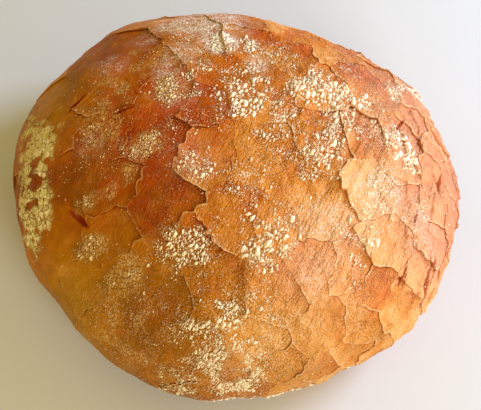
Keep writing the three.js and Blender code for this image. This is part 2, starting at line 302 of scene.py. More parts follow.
def stage_of(points):
    """Angle and stage of the smooth loaf nearest to points that lie close to it."""
    angle = np.arctan2(points[:, 1] - AXIS[1], points[:, 0] - AXIS[0])
    share = np.hypot(points[:, 1] - AXIS[1], points[:, 0] - AXIS[0]) / outline_radius(angle)
    above = points[:, 2] - WAIST_HEIGHT
    upper = np.arctan2(share ** (DOME_POWER / 2), above / (LOAF_HEIGHT - WAIST_HEIGHT))
    lower = np.arctan2(-above / WAIST_HEIGHT, np.maximum(share - FOOT_SHARE, 0) / (1 - FOOT_SHARE))
    return angle, np.where(above >= 0, upper / QUARTER, 1 + np.clip(lower / QUARTER, 0, 1))


# Plates of the crust

def dome_points(x, y):
    angle = np.arctan2(y - AXIS[1], x - AXIS[0])
    share = np.hypot(x - AXIS[0], y - AXIS[1]) / outline_radius(angle)
    return smooth_points(angle, np.arcsin(share ** (DOME_POWER / 2)) / QUARTER)


def plate_spacing(point):
    across = min(1, max(-1, point[0] / SPACING_REACH))
    return WIDE_SPACING + (CLOSE_SPACING - WIDE_SPACING) * (across + 1) / 2


def place_plates():
    """Centres and lifts of all plates: the main ones, then drawn places that keep their distance."""
    main = np.array(MAIN_PLATES, float)
    centres = list(dome_points(main[:, 0], main[:, 1]))
    stages, areas = area_table(1, FOOT_WEIGHT)
    draw = stream(SEEDS["places"])
    for _ in range(PLATE_TRIALS):
        angle = 2 * math.pi * next(draw)
        centre = smooth_points(np.array(angle), np.interp(next(draw), areas, stages))
        least = np.full(len(centres), plate_spacing(centre))
        least[:len(main)] = np.maximum(least[:len(main)], MAIN_SPACING)
        clear = (np.linalg.norm(np.array(centres) - centre, axis=1) > least).all()
        if clear and centre[2] > LOWEST_PLATE:
            centres.append(centre)
    lifts = np.zeros(len(centres))
    lifts[:len(main)] = main[:, 2]
    return np.array(centres), lifts


def tilt_plates(lifts):
    draw = stream(SEEDS["tilts"])
    tilts = []
    for index in range(len(lifts)):
        lifts[index] += LIFT_SPREAD * (2 * next(draw) - 1)
        tilts.append(SHINGLE * SHINGLE_RISE + draw_unit_vector(draw) * TILT_SPREAD)
    return lifts, np.array(tilts)


PLATE_CENTRES, PLATE_LIFTS = place_plates()
PLATE_LIFTS, PLATE_TILTS = tilt_plates(PLATE_LIFTS)
LUMP_WAVES = draw_waves(*LUMPS, stream(SEEDS["lumps"]))
SOFTNESS_WAVES = draw_waves(*SEAM_SOFTNESS, stream(SEEDS["softness"]))
WANDER_STREAM = stream(SEEDS["wander"])
WANDER_WAVES = [wave for band in EDGE_WANDERS for wave in draw_waves(*band, WANDER_STREAM)]
RAG_WAVES = draw_waves(*RAG_WANDER, stream(SEEDS["rag"]))


def wander(points):
    moved = points.copy()
    for heading, phase, push, _ in WANDER_WAVES + RAG_WAVES:
        moved += np.sin(points @ heading + phase)[:, None] * push
    return moved


def nearest_two(places):
    """Nearest and second nearest plate of each place, and the distance to the seam between them."""
    first = np.zeros(len(places), int)
    second = np.zeros(len(places), int)
    to_seam = np.zeros(len(places))
    for start in range(0, len(places), PLATE_CHUNK):
        part = slice(start, start + PLATE_CHUNK)
        gaps = ((places[part, None, :] - PLATE_CENTRES) ** 2).sum(-1)
        order = np.argpartition(gaps, 1, axis=1)[:, :2]
        near = np.take_along_axis(gaps, order, 1)
        order = np.take_along_axis(order, np.argsort(near, axis=1), 1)
        near = np.sort(near, axis=1)
        apart = np.linalg.norm(PLATE_CENTRES[order[:, 0]] - PLATE_CENTRES[order[:, 1]], axis=1)
        first[part], second[part] = order.T
        to_seam[part] = (near[:, 1] - near[:, 0]) / (2 * apart)
    return first, second, to_seam


def plate_height(plates, places):
    arm = places - PLATE_CENTRES[plates]
    rise = (arm * PLATE_TILTS[plates]).sum(-1) + (arm ** 2).sum(-1) / (2 * PLATE_CURVATURE)
    return PLATE_LIFTS[plates] + np.clip(rise, -STEEPEST, STEEPEST)


def torn_at(points):
    """How torn the crust is, from 0 to 1."""
    start, end, share = TORN_RIM
    torn = share * smoothstep(points[:, 0], start, end)
    for x, y, reach in TORN_SPOTS:
        away = (points[:, 0] - x) ** 2 + (points[:, 1] - y) ** 2
        torn = np.maximum(torn, np.exp(-away / reach ** 2))
    return torn


def seam_softness(points):
    soft = SOFT_MEAN + SOFT_SPREAD * sum_of_waves(SOFTNESS_WAVES, points)
    return np.clip(soft, 0, 1) * (1 - torn_at(points))


def drawn_out(points, stretch):
    """Points moved so that what is drawn over them is longer along the wrinkles."""
    return points - stretch * (points @ WRINKLE_HEADING)[:, None] * WRINKLE_HEADING


def wrinkles(points):
    """Creases that run up to the right, on the right of the loaf."""
    noise = lattice_noise(drawn_out(points, WRINKLE_STRETCH), WRINKLE_SIZE, WRINKLE_SEED)
    return WRINKLE_HEIGHT * (1 - 2 * np.abs(noise)) * smoothstep(points[:, 0], *WRINKLE_REACH)


def scales(points):
    """Small overlapping scales on the right, which rise to the lower left and drop where the next begins."""
    grid = drawn_out(points, SCALE_STRETCH) / SCALE_SIZE
    base = np.floor(grid).astype(np.int64)
    nearest = np.full(len(points), np.inf)
    height = np.zeros(len(points))
    for corner in itertools.product((-1, 0, 1), repeat=3):
        cells = base + np.array(corner)
        shift = np.stack([cell_value(cells, seed) for seed in SCALE_SEEDS], -1)
        arm = grid - cells - 0.5 - SCALE_JITTER * shift
        gap = (arm ** 2).sum(1)
        height = np.where(gap < nearest, arm @ SHINGLE, height)
        nearest = np.minimum(nearest, gap)
    return height * smoothstep(points[:, 0], *SCALE_REACH)


def gape_share(points):
    """How near points are to the middle of a slit: 1 there, 0 at its edge, less outside."""
    return np.max([1 - patch_share(points, gape) for gape in GAPES], axis=0)


def gapes(points):
    """Slits with a raised edge round them."""
    share = gape_share(points)
    edge = np.maximum(0, 1 - np.abs(share + GAPE_LIP_PLACE) / GAPE_LIP_REACH)
    return GAPE_LIP * edge - GAPE_DEPTH * smoothstep(share, *GAPE_WALL)


def fine_relief(points):
    """Blisters, pimples, wrinkles, scales and slits of the crust."""
    rough = smoothstep(points[:, 0], *PIMPLE_REACH)
    blisters = sum_of_noise(points, BLISTERS) * (LEAST_BLISTERS + (1 - LEAST_BLISTERS) * rough)
    pimples = sum_of_noise(points, PIMPLES) * (LEAST_PIMPLES + (1 - LEAST_PIMPLES) * rough)
    rise = SCALE_RISE + RIM_SCALE_RISE * smoothstep(points[:, 0], *RIM_REACH)
    return wrinkles(points) + rise * SCALE_SIZE * scales(points) + gapes(points) + (blisters + pimples)


def relief(points, own, other, to_seam):
    """Height of the crust over the smooth loaf."""
    soft = seam_softness(points)
    blend = 0.5 * soft * np.maximum(0, 1 - to_seam / SOFT_WIDTH) ** 2
    side = np.where(own > other, 1, -SUNK_SHARE)
    lip = side * LIP_HEIGHT * (1 - soft) * np.exp(-to_seam / LIP_WIDTH)
    fade = smoothstep(points[:, 2], 0, FOOT_FADE)
    lumps = sum_of_waves(LUMP_WAVES, points) + fine_relief(points)
    return fade * (lumps + own + blend * (other - own) + lip)


# The crust's net, cut along the seams

def split_triangle(side):
    """A triangle split evenly: shares of its second and third corner at each point, and the pieces."""
    rows = [(i, j) for i in range(side + 1) for j in range(side + 1 - i)]
    number = {row: index for index, row in enumerate(rows)}
    pattern = []
    for i, j in rows:
        if i + j < side:
            pattern.append((number[i, j], number[i + 1, j], number[i, j + 1]))
        if i + j < side - 1:
            pattern.append((number[i + 1, j], number[i + 1, j + 1], number[i, j + 1]))
    return np.array(rows) / side, np.array(pattern)


def icosphere(side):
    """Unit sphere of 20 * side * side triangles."""
    golden = (1 + math.sqrt(5)) / 2
    corners = unit(np.array([
        (-1, golden, 0), (1, golden, 0), (-1, -golden, 0), (1, -golden, 0),
        (0, -1, golden), (0, 1, golden), (0, -1, -golden), (0, 1, -golden),
        (golden, 0, -1), (golden, 0, 1), (-golden, 0, -1), (-golden, 0, 1),
    ]))
    faces = [
        (0, 11, 5), (0, 5, 1), (0, 1, 7), (0, 7, 10), (0, 10, 11),
        (1, 5, 9), (5, 11, 4), (11, 10, 2), (10, 7, 6), (7, 1, 8),
        (3, 9, 4), (3, 4, 2), (3, 2, 6), (3, 6, 8), (3, 8, 9),
        (4, 9, 5), (2, 4, 11), (6, 2, 10), (8, 6, 7), (9, 8, 1),
    ]
    share, pattern = split_triangle(side)
    points = []
    triangles = []
    for index, (a, b, c) in enumerate(faces):
        first = (1 - share.sum(1))[:, None] * corners[a]
        points.append(first + share[:, :1] * corners[b] + share[:, 1:] * corners[c])
        triangles.append(pattern + index * len(share))
    points = unit(np.concatenate(points))
    _, keep, back = np.unique(np.round(points, POINT_DIGITS), axis=0, return_index=True, return_inverse=True)
    return points[keep], back.reshape(-1)[np.concatenate(triangles)]


def spread_over_loaf(directions, side_weight, foot_weight):
    """Angle and stage on the loaf for directions of a sphere, by weighted area."""
    stages, areas = area_table(side_weight, foot_weight)
    angle = np.arctan2(directions[:, 1], directions[:, 0])
    return angle, np.interp((1 - directions[:, 2]) / 2, areas, stages)


class Nodes:
    """Points of the smooth loaf, each with its way out and its wandered place."""

    def __init__(self, points, outward):
        self.points = points
        self.outward = outward
        self.places = wander(points)

    def raised(self, heights):
        return self.points + self.outward * heights[:, None]

    def on_plates(self):
        """The plate of each point, its height and the next plate's there, and the distance to their seam."""
        plate, neighbour, to_seam = nearest_two(self.places)
        heights = [plate_height(number, self.places) for number in (plate, neighbour)]
        return plate, *heights, to_seam


class Surface:
    """Collects vertices, with the smooth point, plate, seam distance and step of each, and triangles."""

    def __init__(self):
        self.count = 0
        self.columns = {"vertices": [], "smooth": [], "plate": [], "to_seam": [], "step": []}
        self.triangles = []

    def add(self, vertices, smooth, plate, to_seam, step):
        """Adds vertices and gives their numbers."""
        for column, values in zip(self.columns.values(), (vertices, smooth, plate, to_seam, step)):
            column.append(values)
        self.count += len(vertices)
        return np.arange(self.count - len(vertices), self.count)

    def add_faces(self, *corners):
        """Adds polygons, given as one array of vertex numbers for each corner, as fans of triangles."""
        for turn in range(2, len(corners)):
            self.triangles.append(np.stack([corners[0], corners[turn - 1], corners[turn]], -1))

    def finish(self):
        """All columns as arrays, and the triangles whose corners differ."""
        rows = np.concatenate(self.triangles)
        real = (rows != np.roll(rows, 1, axis=1)).all(1)
        return {name: np.concatenate(parts) for name, parts in self.columns.items()}, rows[real]


def plate_lead(places, own, other):
    """How much nearer places are to their own plate than to another, as a difference of squares."""
    return ((places - PLATE_CENTRES[other]) ** 2).sum(-1) - ((places - PLATE_CENTRES[own]) ** 2).sum(-1)


class Seams:
    """Nodes where the net's edges cross from one plate to another, with a height on each plate."""

    def __init__(self, net, plate, mixed):
        pairs = np.concatenate([mixed[:, [0, 1]], mixed[:, [1, 2]], mixed[:, [2, 0]]])
        pairs = pairs[plate[pairs[:, 0]] < plate[pairs[:, 1]]]
        self.size = len(plate)
        self.keys = np.unique(np.minimum(pairs[:, 0], pairs[:, 1]) * self.size + pairs.max(1))
        ends = np.stack([self.keys // self.size, self.keys % self.size], -1)
        ends = np.take_along_axis(ends, np.argsort(plate[ends], axis=1), 1)
        self.low, self.high = plate[ends].T
        self.nodes = self.cut(net, ends)
        own = plate_height(self.low, self.nodes.places)
        other = plate_height(self.high, self.nodes.places)
        at_seam = np.zeros(len(own))
        self.low_height = relief(self.nodes.points, own, other, at_seam)
        self.high_height = relief(self.nodes.points, other, own, at_seam)
        self.closed = np.abs(self.step()) < SMALLEST_STEP

    def cut(self, net, ends):
        low_end, high_end = ends.T
        lead = plate_lead(net.places[low_end], self.low, self.high)
        share = lead / (lead + plate_lead(net.places[high_end], self.high, self.low))
        share = np.clip(share, CUT_MARGIN, 1 - CUT_MARGIN)[:, None]
        points = net.points[low_end] * (1 - share) + net.points[high_end] * share
        outward = net.outward[low_end] * (1 - share) + net.outward[high_end] * share
        return Nodes(points, unit(outward))

    def step(self):
        return self.low_height - self.high_height

    def number(self, one, two):
        return np.searchsorted(self.keys, np.minimum(one, two) * self.size + np.maximum(one, two))

    def close_crossed(self, near, far):
        """A wall whose step changes sides would cross itself, so the smaller of its steps is closed."""
        step = self.step()
        smaller = np.where(np.abs(step[near]) < np.abs(step[far]), near, far)
        self.closed[smaller[step[near] * step[far] < 0]] = True

    def add_to(self, surface):
        mean = (self.low_height + self.high_height) / 2
        step = np.where(self.closed, 0, self.step())
        low = self.nodes.raised(np.where(self.closed, mean, self.low_height))
        high = self.nodes.raised(self.high_height)
        zero = np.zeros(len(step))
        smooth = self.nodes.points
        self.low_vertex = surface.add(low, smooth, self.low, zero, step)
        self.high_vertex = self.low_vertex.copy()
        split = ~self.closed
        rows = (high, smooth, self.high, zero, -step)
        self.high_vertex[split] = surface.add(*(values[split] for values in rows))

    def vertex(self, numbers, plate):
        return np.where(self.low[numbers] == plate, self.low_vertex[numbers], self.high_vertex[numbers])


class Corners:
    """Nodes where three plates meet. The two nearest in height are joined, so one step is left there."""

    def __init__(self, seams, sides, plates):
        self.plates = plates
        self.nodes = Nodes(seams.nodes.points[sides].mean(1), unit(seams.nodes.outward[sides].mean(1)))
        own = np.stack([plate_height(plates[:, k], self.nodes.places) for k in range(3)], -1)
        at_seam = np.zeros(len(own))
        heights = np.stack([
            relief(self.nodes.points, own[:, k], (own.sum(1) - own[:, k]) / 2, at_seam) for k in range(3)
        ], -1)
        order = np.argsort(heights, axis=1)
        ranked = np.take_along_axis(heights, order, 1)
        low_pair = ranked[:, 1] - ranked[:, 0] < ranked[:, 2] - ranked[:, 1]
        self.bottom = np.where(low_pair, ranked[:, :2].mean(1), ranked[:, 0])
        self.top = np.where(low_pair, ranked[:, 2], ranked[:, 1:].mean(1))
        self.on_top = np.zeros(order.shape, bool)
        tops = np.where(low_pair[:, None], [False, False, True], [False, True, True])
        np.put_along_axis(self.on_top, order, tops, 1)
        self.extremes = np.take_along_axis(plates, order, 1)[:, [0, 2]].T

    def close_crossed(self, seams, sides):
        """Closes a seam's step where it disagrees with the step at the corner."""
        for k in range(3):
            after = (k + 1) % 3
            here = self.on_top[:, k].astype(int) - self.on_top[:, after]
            forward = np.where(self.plates[:, k] < self.plates[:, after], 1, -1)
            there = forward * seams.step()[sides[:, k]]
            seams.closed[sides[here * there < 0, k]] = True

    def add_to(self, surface):
        zero = np.zeros(len(self.top))
        step = self.top - self.bottom
        smooth = self.nodes.points
        bottom = surface.add(self.nodes.raised(self.bottom), smooth, self.extremes[0], zero, -step)
        top = surface.add(self.nodes.raised(self.top), smooth, self.extremes[1], zero, step)
        self.vertex = np.where(self.on_top, top[:, None], bottom[:, None])


def odd_corner_last(triangles, plate):
    """Triangles on two plates, turned so that the corner that is alone on its plate comes last."""
    alike = plate[triangles] == plate[np.roll(triangles, -1, axis=1)]
    turn = np.argmax(alike, axis=1)[:, None]
    return np.take_along_axis(triangles, (turn + np.arange(3)) % 3, 1)


def crispness(points):
    """How plainly seams show, from 0 to 1: at the upper right even where they are soft."""
    upper_right = smoothstep(points[:, 0], *SCALE_REACH) * smoothstep(points[:, 2], *CRISP_HEIGHTS)
    return np.maximum(1 - seam_softness(points), CRISP_SHARE * upper_right)


def add_seam_faces(surface, seams, ends, two, plate):
    """Faces of triangles on two plates: a part of each plate, and the wall between them."""
    near, far = ends
    one_plate, odd_plate = plate[two[:, 0]], plate[two[:, 2]]
    near_one, far_one = seams.vertex(near, one_plate), seams.vertex(far, one_plate)
    near_odd, far_odd = seams.vertex(near, odd_plate), seams.vertex(far, odd_plate)
    surface.add_faces(two[:, 0], two[:, 1], near_one, far_one)
    surface.add_faces(two[:, 2], far_odd, near_odd)
    surface.add_faces(far_one, near_one, near_odd, far_odd)


def add_corner_faces(surface, seams, corners, sides, three, plate):
    """Faces of triangles on three plates: a part of each plate, and the walls between them."""
    for k in range(3):
        after = (k + 1) % 3
        this_side = seams.vertex(sides[:, k], plate[three[:, k]])
        other_side = seams.vertex(sides[:, k], plate[three[:, after]])
        last_side = seams.vertex(sides[:, (k + 2) % 3], plate[three[:, k]])
        surface.add_faces(three[:, k], this_side, corners.vertex[:, k], last_side)
        surface.add_faces(corners.vertex[:, k], this_side, other_side, corners.vertex[:, after])


def make_crust():
    """The crust's closed surface: plates at their heights, and walls at the steps between them."""
    directions, triangles = icosphere(NET_SIDE)
    angle, stage = spread_over_loaf(directions, SIDE_WEIGHT, NET_FOOT_WEIGHT)
    net = Nodes(smooth_points(angle, stage), outward_at(angle, stage))
    plate, own, other, to_seam = net.on_plates()
    raised = net.raised(relief(net.points, own, other, to_seam))
    surface = Surface()
    surface.add(raised, net.points, plate, to_seam, (own - other) * crispness(net.points))

    kinds = plate[triangles]
    alike = (kinds == np.roll(kinds, 1, axis=1)).sum(1)
    two = odd_corner_last(triangles[alike == 1], plate)
    three = triangles[alike == 0]
    seams = Seams(net, plate, triangles[alike < 3])
    ends = seams.number(two[:, 1], two[:, 2]), seams.number(two[:, 2], two[:, 0])
    sides = np.stack([seams.number(three[:, k], three[:, (k + 1) % 3]) for k in range(3)], -1)
    corners = Corners(seams, sides, plate[three])
    seams.close_crossed(*ends)
    corners.close_crossed(seams, sides)
    seams.add_to(surface)
    corners.add_to(surface)

    surface.add_faces(*triangles[alike == 3].T)
    add_seam_faces(surface, seams, ends, two, plate)
    add_corner_faces(surface, seams, corners, sides, three, plate)
    return surface.finish()


# Flour on the crust

# Patches seen from above: x, y, half length, half width, turn in degrees, cover, size of its islands
FLOUR_PATCHES = [
    (-109, -3, 36, 11, 95, 1.0, 3.4), (-75, 7, 13, 11, 0, 0.6, 1.4), (-47, -2, 16, 9, 0, 0.85, 1.5),
    (-64, 36, 11, 6, 0, 0.6, 1.4), (-34, 33, 8, 11, 0, 1.5, 1.3), (-25, 34, 9, 11, 0, 1.4, 1.4),
    (-26, 10, 12, 13, 0, 0.5, 1.3), (-23, 82, 24, 9, 0, 0.6, 1.3), (-7, 67, 11, 9, 0, 0.95, 2.0),
    (6, 65, 10, 9, 0, 0.9, 1.8), (12, 42, 8, 10, 0, 1.3, 2.4), (6, 23, 9, 16, 0, 1.3, 2.6),
    (12, 7, 11, 8, 0, 1.1, 3.0), (49, 33, 23, 9, -8, 1.4, 2.7), (41, 48, 12, 7, -20, 0.9, 2.0),
    (59, 21, 8, 10, 0, 1.2, 2.3), (48, -4, 12, 10, 0, 1.15, 2.6), (90, 47, 8, 9, 0, 0.8, 1.8),
    (89, 5, 9, 15, 20, 1.3, 2.6), (34, -17, 14, 6, -40, 0.7, 2.2), (-16, -16, 14, 12, 0, 0.75, 1.5),
    (-25, -62, 16, 18, -20, 0.95, 1.9), (18, -55, 15, 15, -10, 1.3, 2.6),
    (-8, -90, 22, 8, 15, 1.0, 2.0), (-2, -108, 20, 11, 0, 0.8, 1.7), (-29, -116, 12, 12, 0, 0.75, 1.5),
    (-54, -68, 17, 7, 15, 0.8, 1.7), (-75, -53, 9, 6, 0, 0.9, 3.2), (-71, -29, 14, 6, 20, 0.65, 1.4),
    (57, -47, 5, 7, 0, 0.85, 2.0), (67, -53, 7, 6, 0, 1.0, 2.4), (63, -64, 4, 4, 0, 1.0, 3.0),
    (76, -24, 15, 13, 0, 0.75, 1.2), (99, -30, 6, 8, 0, 0.55, 1.2), (59, -73, 6, 4, 0, 0.65, 1.6),
    (28, 28, 62, 44, -25, 0.52, 1.7), (10, -36, 50, 30, -30, 0.38, 1.6), (-22, 46, 34, 34, 0, 0.5, 1.4),
    (-70, 8, 34, 44, 0, 0.28, 1.4), (-38, -85, 34, 26, 0, 0.4, 1.3), (70, -30, 34, 30, 0, 0.36, 1.3),
    (2, -95, 32, 20, 10, 0.4, 1.6),
]
PATCH_CORE = 0.3
PATCH_EDGE = 1.6
USUAL_ISLAND = 1.4
LOWEST_FLOUR = (18, 42)

# Clumps in the patches: size, share, seed
PATCH_CLUMPS = [(9, 0.9, 29), (3.5, 0.9, 23)]

# Patches on the sides are drawn: how many, the range of their reach, cover and island size
SIDE_PATCHES = 26
SIDE_REACH = (9, 22)
SIDE_COVER = (0.45, 0.9)
SIDE_ISLAND = (1.3, 2.4)
FAR_SIDE = 0.35
NEAR_STAGES = (1.45, 1.75)
FAR_STAGES = (0.8, 1.6)

# Places under a haze of flour dust: x, y, half length, half width, turn in degrees, share
HAZE_PATCHES = [
    (-20, 88, 30, 17, -8, 1.6), (-68, 54, 11, 11, 40, 0.5), (-22, -12, 16, 14, 0, 0.3),
    (75, -25, 17, 15, 0, 0.75), (-29, 58, 11, 10, 0, 0.9), (48, -45, 18, 12, 0, 0.7),
    (-10, 99, 18, 10, 0, 1.4), (-30, 31, 14, 14, 0, 0.4), (2, -110, 18, 10, 0, 0.2),
    (40, -70, 18, 14, 0, 0.4), (-9, 68, 13, 10, -35, 2.0), (13, 50, 8, 9, 0, 0.8),
    (98, -38, 12, 22, 20, 0.4), (-78, 2, 10, 9, 0, 0.35), (-36, 46, 9, 12, 0, 0.7),
    (-50, 76, 10, 8, 0, 0.6), (60, -52, 16, 10, 30, 0.4),
]
HAZE_EDGE = (0.2, 1.3)

# Flour that lies as a film
FILM_STRETCH = 0.4
FILM_X = -62
FILM_REACH = 30
FILM_TOP = (60, 85)
FILM_TOP_SHARE = 0.8
FILM_TAKES = 0.55

# Where islands lie, and how large they grow: the spread is the least share, the span and the power
FLOUR_TRIALS = 200000
LEAST_COVER = 0.2
LOWEST_CRUMB = 8
ISLAND_SPREAD = (0.42, 1.0, 2.4)
LARGE_CRUMBS = 0.015
LARGE_COVER = (0.5, 1.1)
LARGE_SHARE = 1.08
ISLAND_SHOWN = (0.3, 0.8)
ISLAND_NEIGHBOURS = 12
NEIGHBOUR_CHUNK = 1000
CRUMB_OVERLAP = 0.45
OVERLAP_REACH = (-60, 0)
CRUMB_STRETCH = 0.4
CRUMB_LIE_SPREAD = 0.4

# Form of an island
ISLAND_SIDES = 7
ISLAND_TURN_JITTER = 0.42
ISLAND_REACH = 0.8
LEAST_FACING = 0.05
LEAST_ISLAND_REACH = 0.15
FULLNESS_START = 0.55
FULLNESS_RISE = 0.5
FULLNESS_RANGE = (0.6, 1.05)
FULLNESS_JITTER = (0.85, 1.05)
ISLAND_GAP = 0.06
LEAST_RADIUS = 0.12
RADIUS_JITTER = (0.68, 1.1)
ISLAND_STEEPNESS = 0.9
ISLAND_THICKNESS = (0.2, 0.9)
THICKNESS_JITTER = (0.6, 1.4)
BROW_SHARE = (0.5, 0.8)
BROW_HEIGHT = (0.5, 0.95)
MIDDLE_HEIGHT = (0.95, 1.25)
SUNK = 0.12

# Loose grains, in clouds with a size and a seed
GRAIN_COUNT = 18000
GRAIN_TRIALS = 8 * GRAIN_COUNT
GRAIN_CLOUDS = (14, 41)
GRAIN_DENSITY = 0.9
MOST_COVER = 1.2
BARE_DENSITY = (0.002, 0.02)
BARE_REACH = (-40, 10)
LEAST_DENSITY = 1e-6
GRAIN_HEIGHTS = (8, 40)
GRAIN_SIDES = 5
GRAIN_TURN_JITTER = 0.4
GRAIN_RADIUS = (0.2, 0.55)
GRAIN_SIZE_POWER = 2.5
GRAIN_RADIUS_JITTER = (0.6, 1.2)
PEAK_HEIGHT = (0.5, 1)

# A fixed direction, which hardly any way out of the loaf shares
ASIDE = np.array([0.3, 1.0, 0.2])


def draw_side_patches():
    """Centre, reach, cover and island size of patches on the sides, lower where they face the front."""
    chance = np.random.default_rng(SEEDS["sides"])
    angle = chance.uniform(-math.pi, math.pi, SIDE_PATCHES)
    upper, lower = np.where(np.sin(angle)[:, None] > FAR_SIDE, FAR_STAGES, NEAR_STAGES).T
    stage = upper + (lower - upper) * chance.random(SIDE_PATCHES)
    sizes = [chance.uniform(*span, SIDE_PATCHES) for span in (SIDE_REACH, SIDE_COVER, SIDE_ISLAND)]
    return list(zip(smooth_points(angle, stage), *sizes))


SIDE_FLOUR = draw_side_patches()


def flour_fields(points):
    """Cover with flour in clumps and spread evenly, from 0 to about 1, and island size at points."""
    cover = np.zeros(len(points))
    size = np.full(len(points), USUAL_ISLAND)
    high = smoothstep(points[:, 2], *LOWEST_FLOUR)
    shares = [(patch_share(points, patch), patch[5] * high, patch[6]) for patch in FLOUR_PATCHES]
    for centre, reach, most, island in SIDE_FLOUR:
        shares.append((np.linalg.norm(points - centre, axis=1) / reach, most, island))
    for share, most, island in shares:
        here = most * (1 - smoothstep(share, PATCH_CORE, PATCH_EDGE))
        size = np.where(here > cover, island, size)
        cover = np.maximum(cover, here)
    return np.maximum(cover * (1 + sum_of_noise(points, PATCH_CLUMPS)), 0), cover, size


def haze_share(points):
    """How thick the haze of flour dust is at points."""
    shares = [patch[5] * (1 - smoothstep(patch_share(points, patch), *HAZE_EDGE)) for patch in HAZE_PATCHES]
    return np.max(shares, axis=0)


def film_share(points):
    """Share of the flour that lies as a thin crackled film: most at the left and at the top."""
    left = np.exp(-((points[:, 0] - FILM_X) / FILM_REACH) ** 2)
    return np.maximum(left, FILM_TOP_SHARE * smoothstep(points[:, 1], *FILM_TOP))


def scatter(points, spacing):
    """Numbers of the points that keep their distance from the points taken before them."""
    cell = spacing.max()
    taken = {}
    numbers = []
    corners = list(itertools.product((-1, 0, 1), repeat=3))
    for number, (x, y, z, gap) in enumerate(np.column_stack([points, spacing]).tolist()):
        i, j, k = int(x // cell), int(y // cell), int(z // cell)
        near = itertools.chain.from_iterable(taken.get((i + a, j + b, k + c), ()) for a, b, c in corners)
        if all((x - u) ** 2 + (y - v) ** 2 + (z - w) ** 2 > ((gap + r) / 2) ** 2 for u, v, w, r in near):
            taken.setdefault((i, j, k), []).append((x, y, z, gap))
            numbers.append(number)
    return np.array(numbers)


def nearest_neighbours(points, count):
    """Numbers of the nearest other points of each point."""
    rows = []
    for start in range(0, len(points), NEIGHBOUR_CHUNK):
        gaps = ((points[start:start + NEIGHBOUR_CHUNK, None, :] - points) ** 2).sum(-1)
        order = np.argpartition(gaps, count, axis=1)[:, :count + 1]
        ranked = np.take_along_axis(order, np.argsort(np.take_along_axis(gaps, order, 1), axis=1), 1)
        rows.append(ranked[:, 1:])
    return np.concatenate(rows)


def tangents(outward):
    """Two directions across each way out."""
    aside = unit(np.cross(outward, ASIDE))
    return aside, np.cross(outward, aside)


def drawn_places(chance, count):
    """Places drawn evenly over the loaf, down to the foot: smooth points and the ways out there."""
    stages, areas = area_table(1, 0)
    angle = chance.uniform(-math.pi, math.pi, count)
    stage = np.interp(chance.random(count), areas, stages)
    return smooth_points(angle, stage), outward_at(angle, stage)


def crust_points(points, lift):
    """Points of the crust over or under points near the smooth loaf, raised by a lift."""
    angle, stage = stage_of(points)
    nodes = Nodes(smooth_points(angle, stage), outward_at(angle, stage))
    _, own, other, to_seam = nodes.on_plates()
    return nodes.raised(relief(nodes.points, own, other, to_seam) + lift)


def ring_turns(chance, count, sides, jitter):
    """Directions of the corners of rings, about evenly round each."""
    turns = np.arange(sides) + chance.uniform(-jitter, jitter, (count, sides))
    return turns * 2 * math.pi / sides


def ring_points(seeds, axes, turns, radius):
    """Points of rings round seeds, one ring after another."""
    across = np.cos(turns)[..., None] * axes[0][:, None, :] + np.sin(turns)[..., None] * axes[1][:, None, :]
    return (seeds[:, None, :] + across * radius[..., None]).reshape(-1, 3)


def ring_numbers(count, sides, first=0):
    """Vertex numbers of rings that lie one after another, and of the next vertex round each ring."""
    base = first + (np.arange(count) * sides)[:, None]
    ring = np.arange(sides)
    return base + ring, base + (ring + 1) % sides


def peak_numbers(count, sides, first):
    """The vertex number of each ring's peak, once for each side of the ring."""
    return np.broadcast_to((first + np.arange(count))[:, None], (count, sides))


def ring_faces(bands, rings):
    """Triangles of bands, each given by the numbers of its three corners, and of caps under rings."""
    caps = [rings[:, [0, turn, turn - 1]] for turn in range(2, rings.shape[1])]
    return np.concatenate([np.stack(corners, -1).reshape(-1, 3) for corners in bands] + caps)


def drawn_share(axes, turns, chance):
    """How far crumbs are drawn out in each direction: most along the wrinkles, give or take."""
    lie = np.arctan2(axes[1] @ WRINKLE_HEADING, axes[0] @ WRINKLE_HEADING)
    lie = lie + chance.normal(0, CRUMB_LIE_SPREAD, len(lie))
    return 1 + CRUMB_STRETCH * np.cos(2 * (turns - lie[:, None]))


def island_seeds(chance):
    """Places of islands, the large ones first, with their ways out, cover and spacing."""
    seeds, outward = drawn_places(chance, FLOUR_TRIALS)
    cover, _, size = flour_fields(seeds)
    cover *= 1 - FILM_TAKES * film_share(seeds)
    least, span, power = ISLAND_SPREAD
    spacing = size * (least + span * chance.random(len(seeds)) ** power)
    large = chance.random(len(seeds)) < LARGE_CRUMBS * smoothstep(cover, *LARGE_COVER)
    spacing = np.where(large, LARGE_SHARE * size, spacing)
    floured = np.flatnonzero((cover > LEAST_COVER) & (seeds[:, 2] > LOWEST_CRUMB))
    floured = floured[np.argsort(~large[floured], kind="stable")]
    kept = floured[scatter(drawn_out(seeds[floured], CRUMB_STRETCH), spacing[floured])]
    return seeds[kept], outward[kept], cover[kept], spacing[kept]


